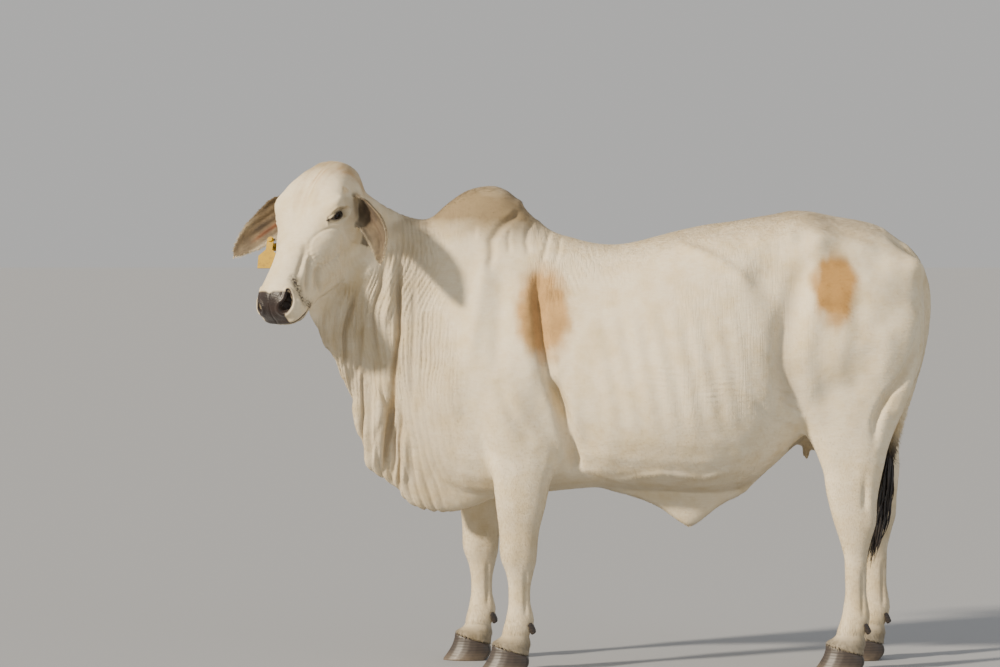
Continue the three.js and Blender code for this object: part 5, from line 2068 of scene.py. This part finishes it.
@dataclass
class Eyes:
    """Two eyeballs with a cornea that stands out a little."""

    form: EyeForm
    finish: WetEye = field(default_factory=WetEye)
    rings: int = 36
    turns: int = 56
    cornea: float = 0.0016

    def build(self) -> list[bpy.types.Object]:
        """Makes both eyes.

        Returns:
            The eyeballs, which replace the solids of the eyes.
        """
        made = []
        for side in Side:
            rise = np.linspace(0.0, math.pi, self.rings + 1)[:, None]
            turn = np.linspace(0.0, 2.0 * math.pi, self.turns, endpoint=False)[None, :]
            ball = np.stack(
                np.broadcast_arrays(np.sin(rise) * np.cos(turn), np.sin(rise) * np.sin(turn), np.cos(rise)),
                axis=-1,
            )
            front = step(np.hypot(ball[..., 0], ball[..., 1]), 0.62, 0.2) * (ball[..., 2] > 0)
            swell = 1.0 + self.cornea / self.form.radius * front
            shape = (ball * swell[..., None]).reshape(-1, 3)
            local = self.form.centre(side) + shape * (self.form.radius - 0.0002) @ self.form.axes(side)
            points = HEAD.body(local) + SHIFT
            row = np.arange(self.rings)[:, None] * self.turns
            col = np.arange(self.turns)[None, :]
            nxt = (col + 1) % self.turns
            quads = np.stack(
                np.broadcast_arrays(row + col, row + self.turns + col, row + self.turns + nxt, row + nxt),
                axis=-1,
            ).reshape(-1, 4)
            mesh = mesh_from(f"eyeball_{side.word}", points, [quads])
            layer = mesh.attributes.new("eye_place", "FLOAT_VECTOR", "POINT")
            layer.data.foreach_set("vector", ball.reshape(-1, 3).astype(np.float32).ravel())
            work = bmesh.new()
            work.from_mesh(mesh)
            bmesh.ops.remove_doubles(work, verts=work.verts, dist=1e-6)
            bmesh.ops.recalc_face_normals(work, faces=work.faces)
            work.to_mesh(mesh)
            work.free()
            mesh.shade_smooth()
            piece = new_object(f"eyeball_{side.word}", mesh, self.finish.material(side))
            made.append(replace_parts(piece, f"eye_{side.word}"))
        return made


@dataclass
class Claws:
    """Claws and dewclaws: the solids' own shapes with rounded edges."""

    voxel: float = 0.0028
    passes: int = 7
    sole: float = 0.004  # below this height smoothing leaves a point's height, so the sole stays flat

    def build(self, material: bpy.types.Material) -> None:
        """Rounds and dresses each claw's solid.

        Args:
            material: the claws' finish.
        """
        for name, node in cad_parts.items():
            if "claw" not in name:
                continue
            work = bmesh.new()
            work.from_mesh(node.data)
            bmesh.ops.remove_doubles(work, verts=work.verts, dist=1e-5)
            mesh = bpy.data.meshes.new(f"{name}_horn")
            work.to_mesh(mesh)
            work.free()
            holder = bpy.data.objects.new("holder", mesh)
            bpy.context.scene.collection.objects.link(holder)
            modifier = holder.modifiers.new("even", "REMESH")
            modifier.mode = "VOXEL"
            modifier.voxel_size = self.voxel
            depsgraph = bpy.context.evaluated_depsgraph_get()
            made = bpy.data.meshes.new_from_object(holder.evaluated_get(depsgraph))
            bpy.data.objects.remove(holder)
            points = points_of(made)
            soft = relax(points, edges_of(made), np.full(len(points), 0.5), self.passes)
            sole = points[:, 2] < self.sole
            soft[sole, 2] = np.maximum(points[sole, 2], 0.0)
            soft[:, 2] = np.maximum(soft[:, 2], 0.0)
            set_points(made, soft)
            made.name = f"{name}_horn"
            made.shade_smooth()
            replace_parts(new_object(f"{name}_horn", made, material), name)


@dataclass
class EarTag:
    """The tag's solids with softened moulded edges."""

    edge: float = 0.0007

    def build(self, material: bpy.types.Material) -> None:
        """Dresses the tag and its button.

        Args:
            material: the tag's finish.
        """
        for name in ("ear_tag", "ear_tag_button"):
            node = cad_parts[name]
            node.data.materials.clear()
            node.data.materials.append(material)
            weld = node.modifiers.new("weld", "WELD")
            weld.merge_threshold = 1e-5
            bevel = node.modifiers.new("edge", "BEVEL")
            bevel.width = self.edge
            bevel.segments = 2
            bevel.limit_method = "ANGLE"
            bevel.angle_limit = math.radians(40.0)
            bevel.harden_normals = False


# Studio


@dataclass
class Studio:
    """Pale floor, soft light and the camera at the photograph's angle."""

    camera_place: tuple[float, float, float] = (-0.408, -10.40, 1.22)
    camera_pitch: float = math.radians(1.3)
    lens: float = 126.5
    floor_half: float = 300.0
    sky: str = "#F1F0EE"
    sky_strength: float = 0.58
    sun_from: tuple[float, float, float] = (-0.77, -0.52, 0.42)
    sun_power: float = 6.0
    sun_angle: float = math.radians(4.5)
    sun_tint: str = "#FFF0D8"
    fill_place: tuple[float, float, float] = (5.5, -6.0, 3.0)
    fill_size: float = 5.0
    fill_power: float = 70.0
    fill_tint: str = "#EEF3FF"
    aim_height: float = 0.85
    sensor: float = 36.0  # mm, the width that the lens is stated for

    def light(
        self,
        name: str,
        place: tuple[float, float, float],
        size: float,
        power: float,
        tint: str,
    ) -> None:
        """Adds a soft area light that points at the middle of the animal.

        Args:
            name: the light's name.
            place: where it stands, in body coordinates.
            size: the width of its square.
            power: watts.
            tint: its colour.
        """
        data = bpy.data.lights.new(name, "AREA")
        data.size = size
        data.energy = power
        data.color = linear(tint)[:3]
        lamp = bpy.data.objects.new(name, data)
        lamp.location = Vector(place) + Vector(SHIFT)
        aim = Vector((0.0, 0.0, self.aim_height)) - lamp.location
        lamp.rotation_euler = aim.to_track_quat("-Z", "Y").to_euler()
        bpy.context.scene.collection.objects.link(lamp)

    def build(self) -> None:
        """Makes floor, lights, sky and camera."""
        half = self.floor_half
        floor = mesh_from(
            "studio_floor",
            np.array([[-half, -half, 0.0], [half, -half, 0.0], [half, half, 0.0], [-half, half, 0.0]]),
            [np.array([[0, 1, 2, 3]])],
        )
        floor.materials.append(MattePaint().material())
        ground = bpy.data.objects.new("studio_floor", floor)
        bpy.context.scene.collection.objects.link(ground)
        sun = bpy.data.lights.new("key", "SUN")
        sun.energy = self.sun_power
        sun.angle = self.sun_angle
        sun.color = linear(self.sun_tint)[:3]
        lamp = bpy.data.objects.new("key", sun)
        lamp.rotation_euler = Vector(self.sun_from).to_track_quat("Z", "Y").to_euler()
        bpy.context.scene.collection.objects.link(lamp)
        self.light("fill", self.fill_place, self.fill_size, self.fill_power, self.fill_tint)
        world = bpy.data.worlds.new("studio")
        world.use_nodes = True
        back = world.node_tree.nodes["Background"]
        back.inputs["Color"].default_value = linear(self.sky)
        back.inputs["Strength"].default_value = self.sky_strength
        bpy.context.scene.world = world
        data = bpy.data.cameras.new("camera")
        data.lens = self.lens
        data.sensor_width = self.sensor
        camera = bpy.data.objects.new("camera", data)
        camera.location = Vector(self.camera_place) + Vector(SHIFT)
        camera.rotation_euler = (math.pi / 2.0 - self.camera_pitch, 0.0, 0.0)
        bpy.context.scene.collection.objects.link(camera)
        bpy.context.scene.camera = camera


def main() -> None:
    """Builds the animal and its studio in order."""
    logging.basicConfig(level=logging.INFO, format="%(name)s: %(message)s")
    hide = ShortCoat().material()
    body = Skin()
    skin = body.build(hide)
    Coat(body).build(skin, hide)
    EarFringe(body).build(skin, hide)
    TailSwitch().build(TailHair().material())
    Eyes(body.eye).build()
    Claws().build(Horn().material())
    EarTag().build(TagPlastic().material())
    Studio().build()


if __name__ == "__main__":
    main()
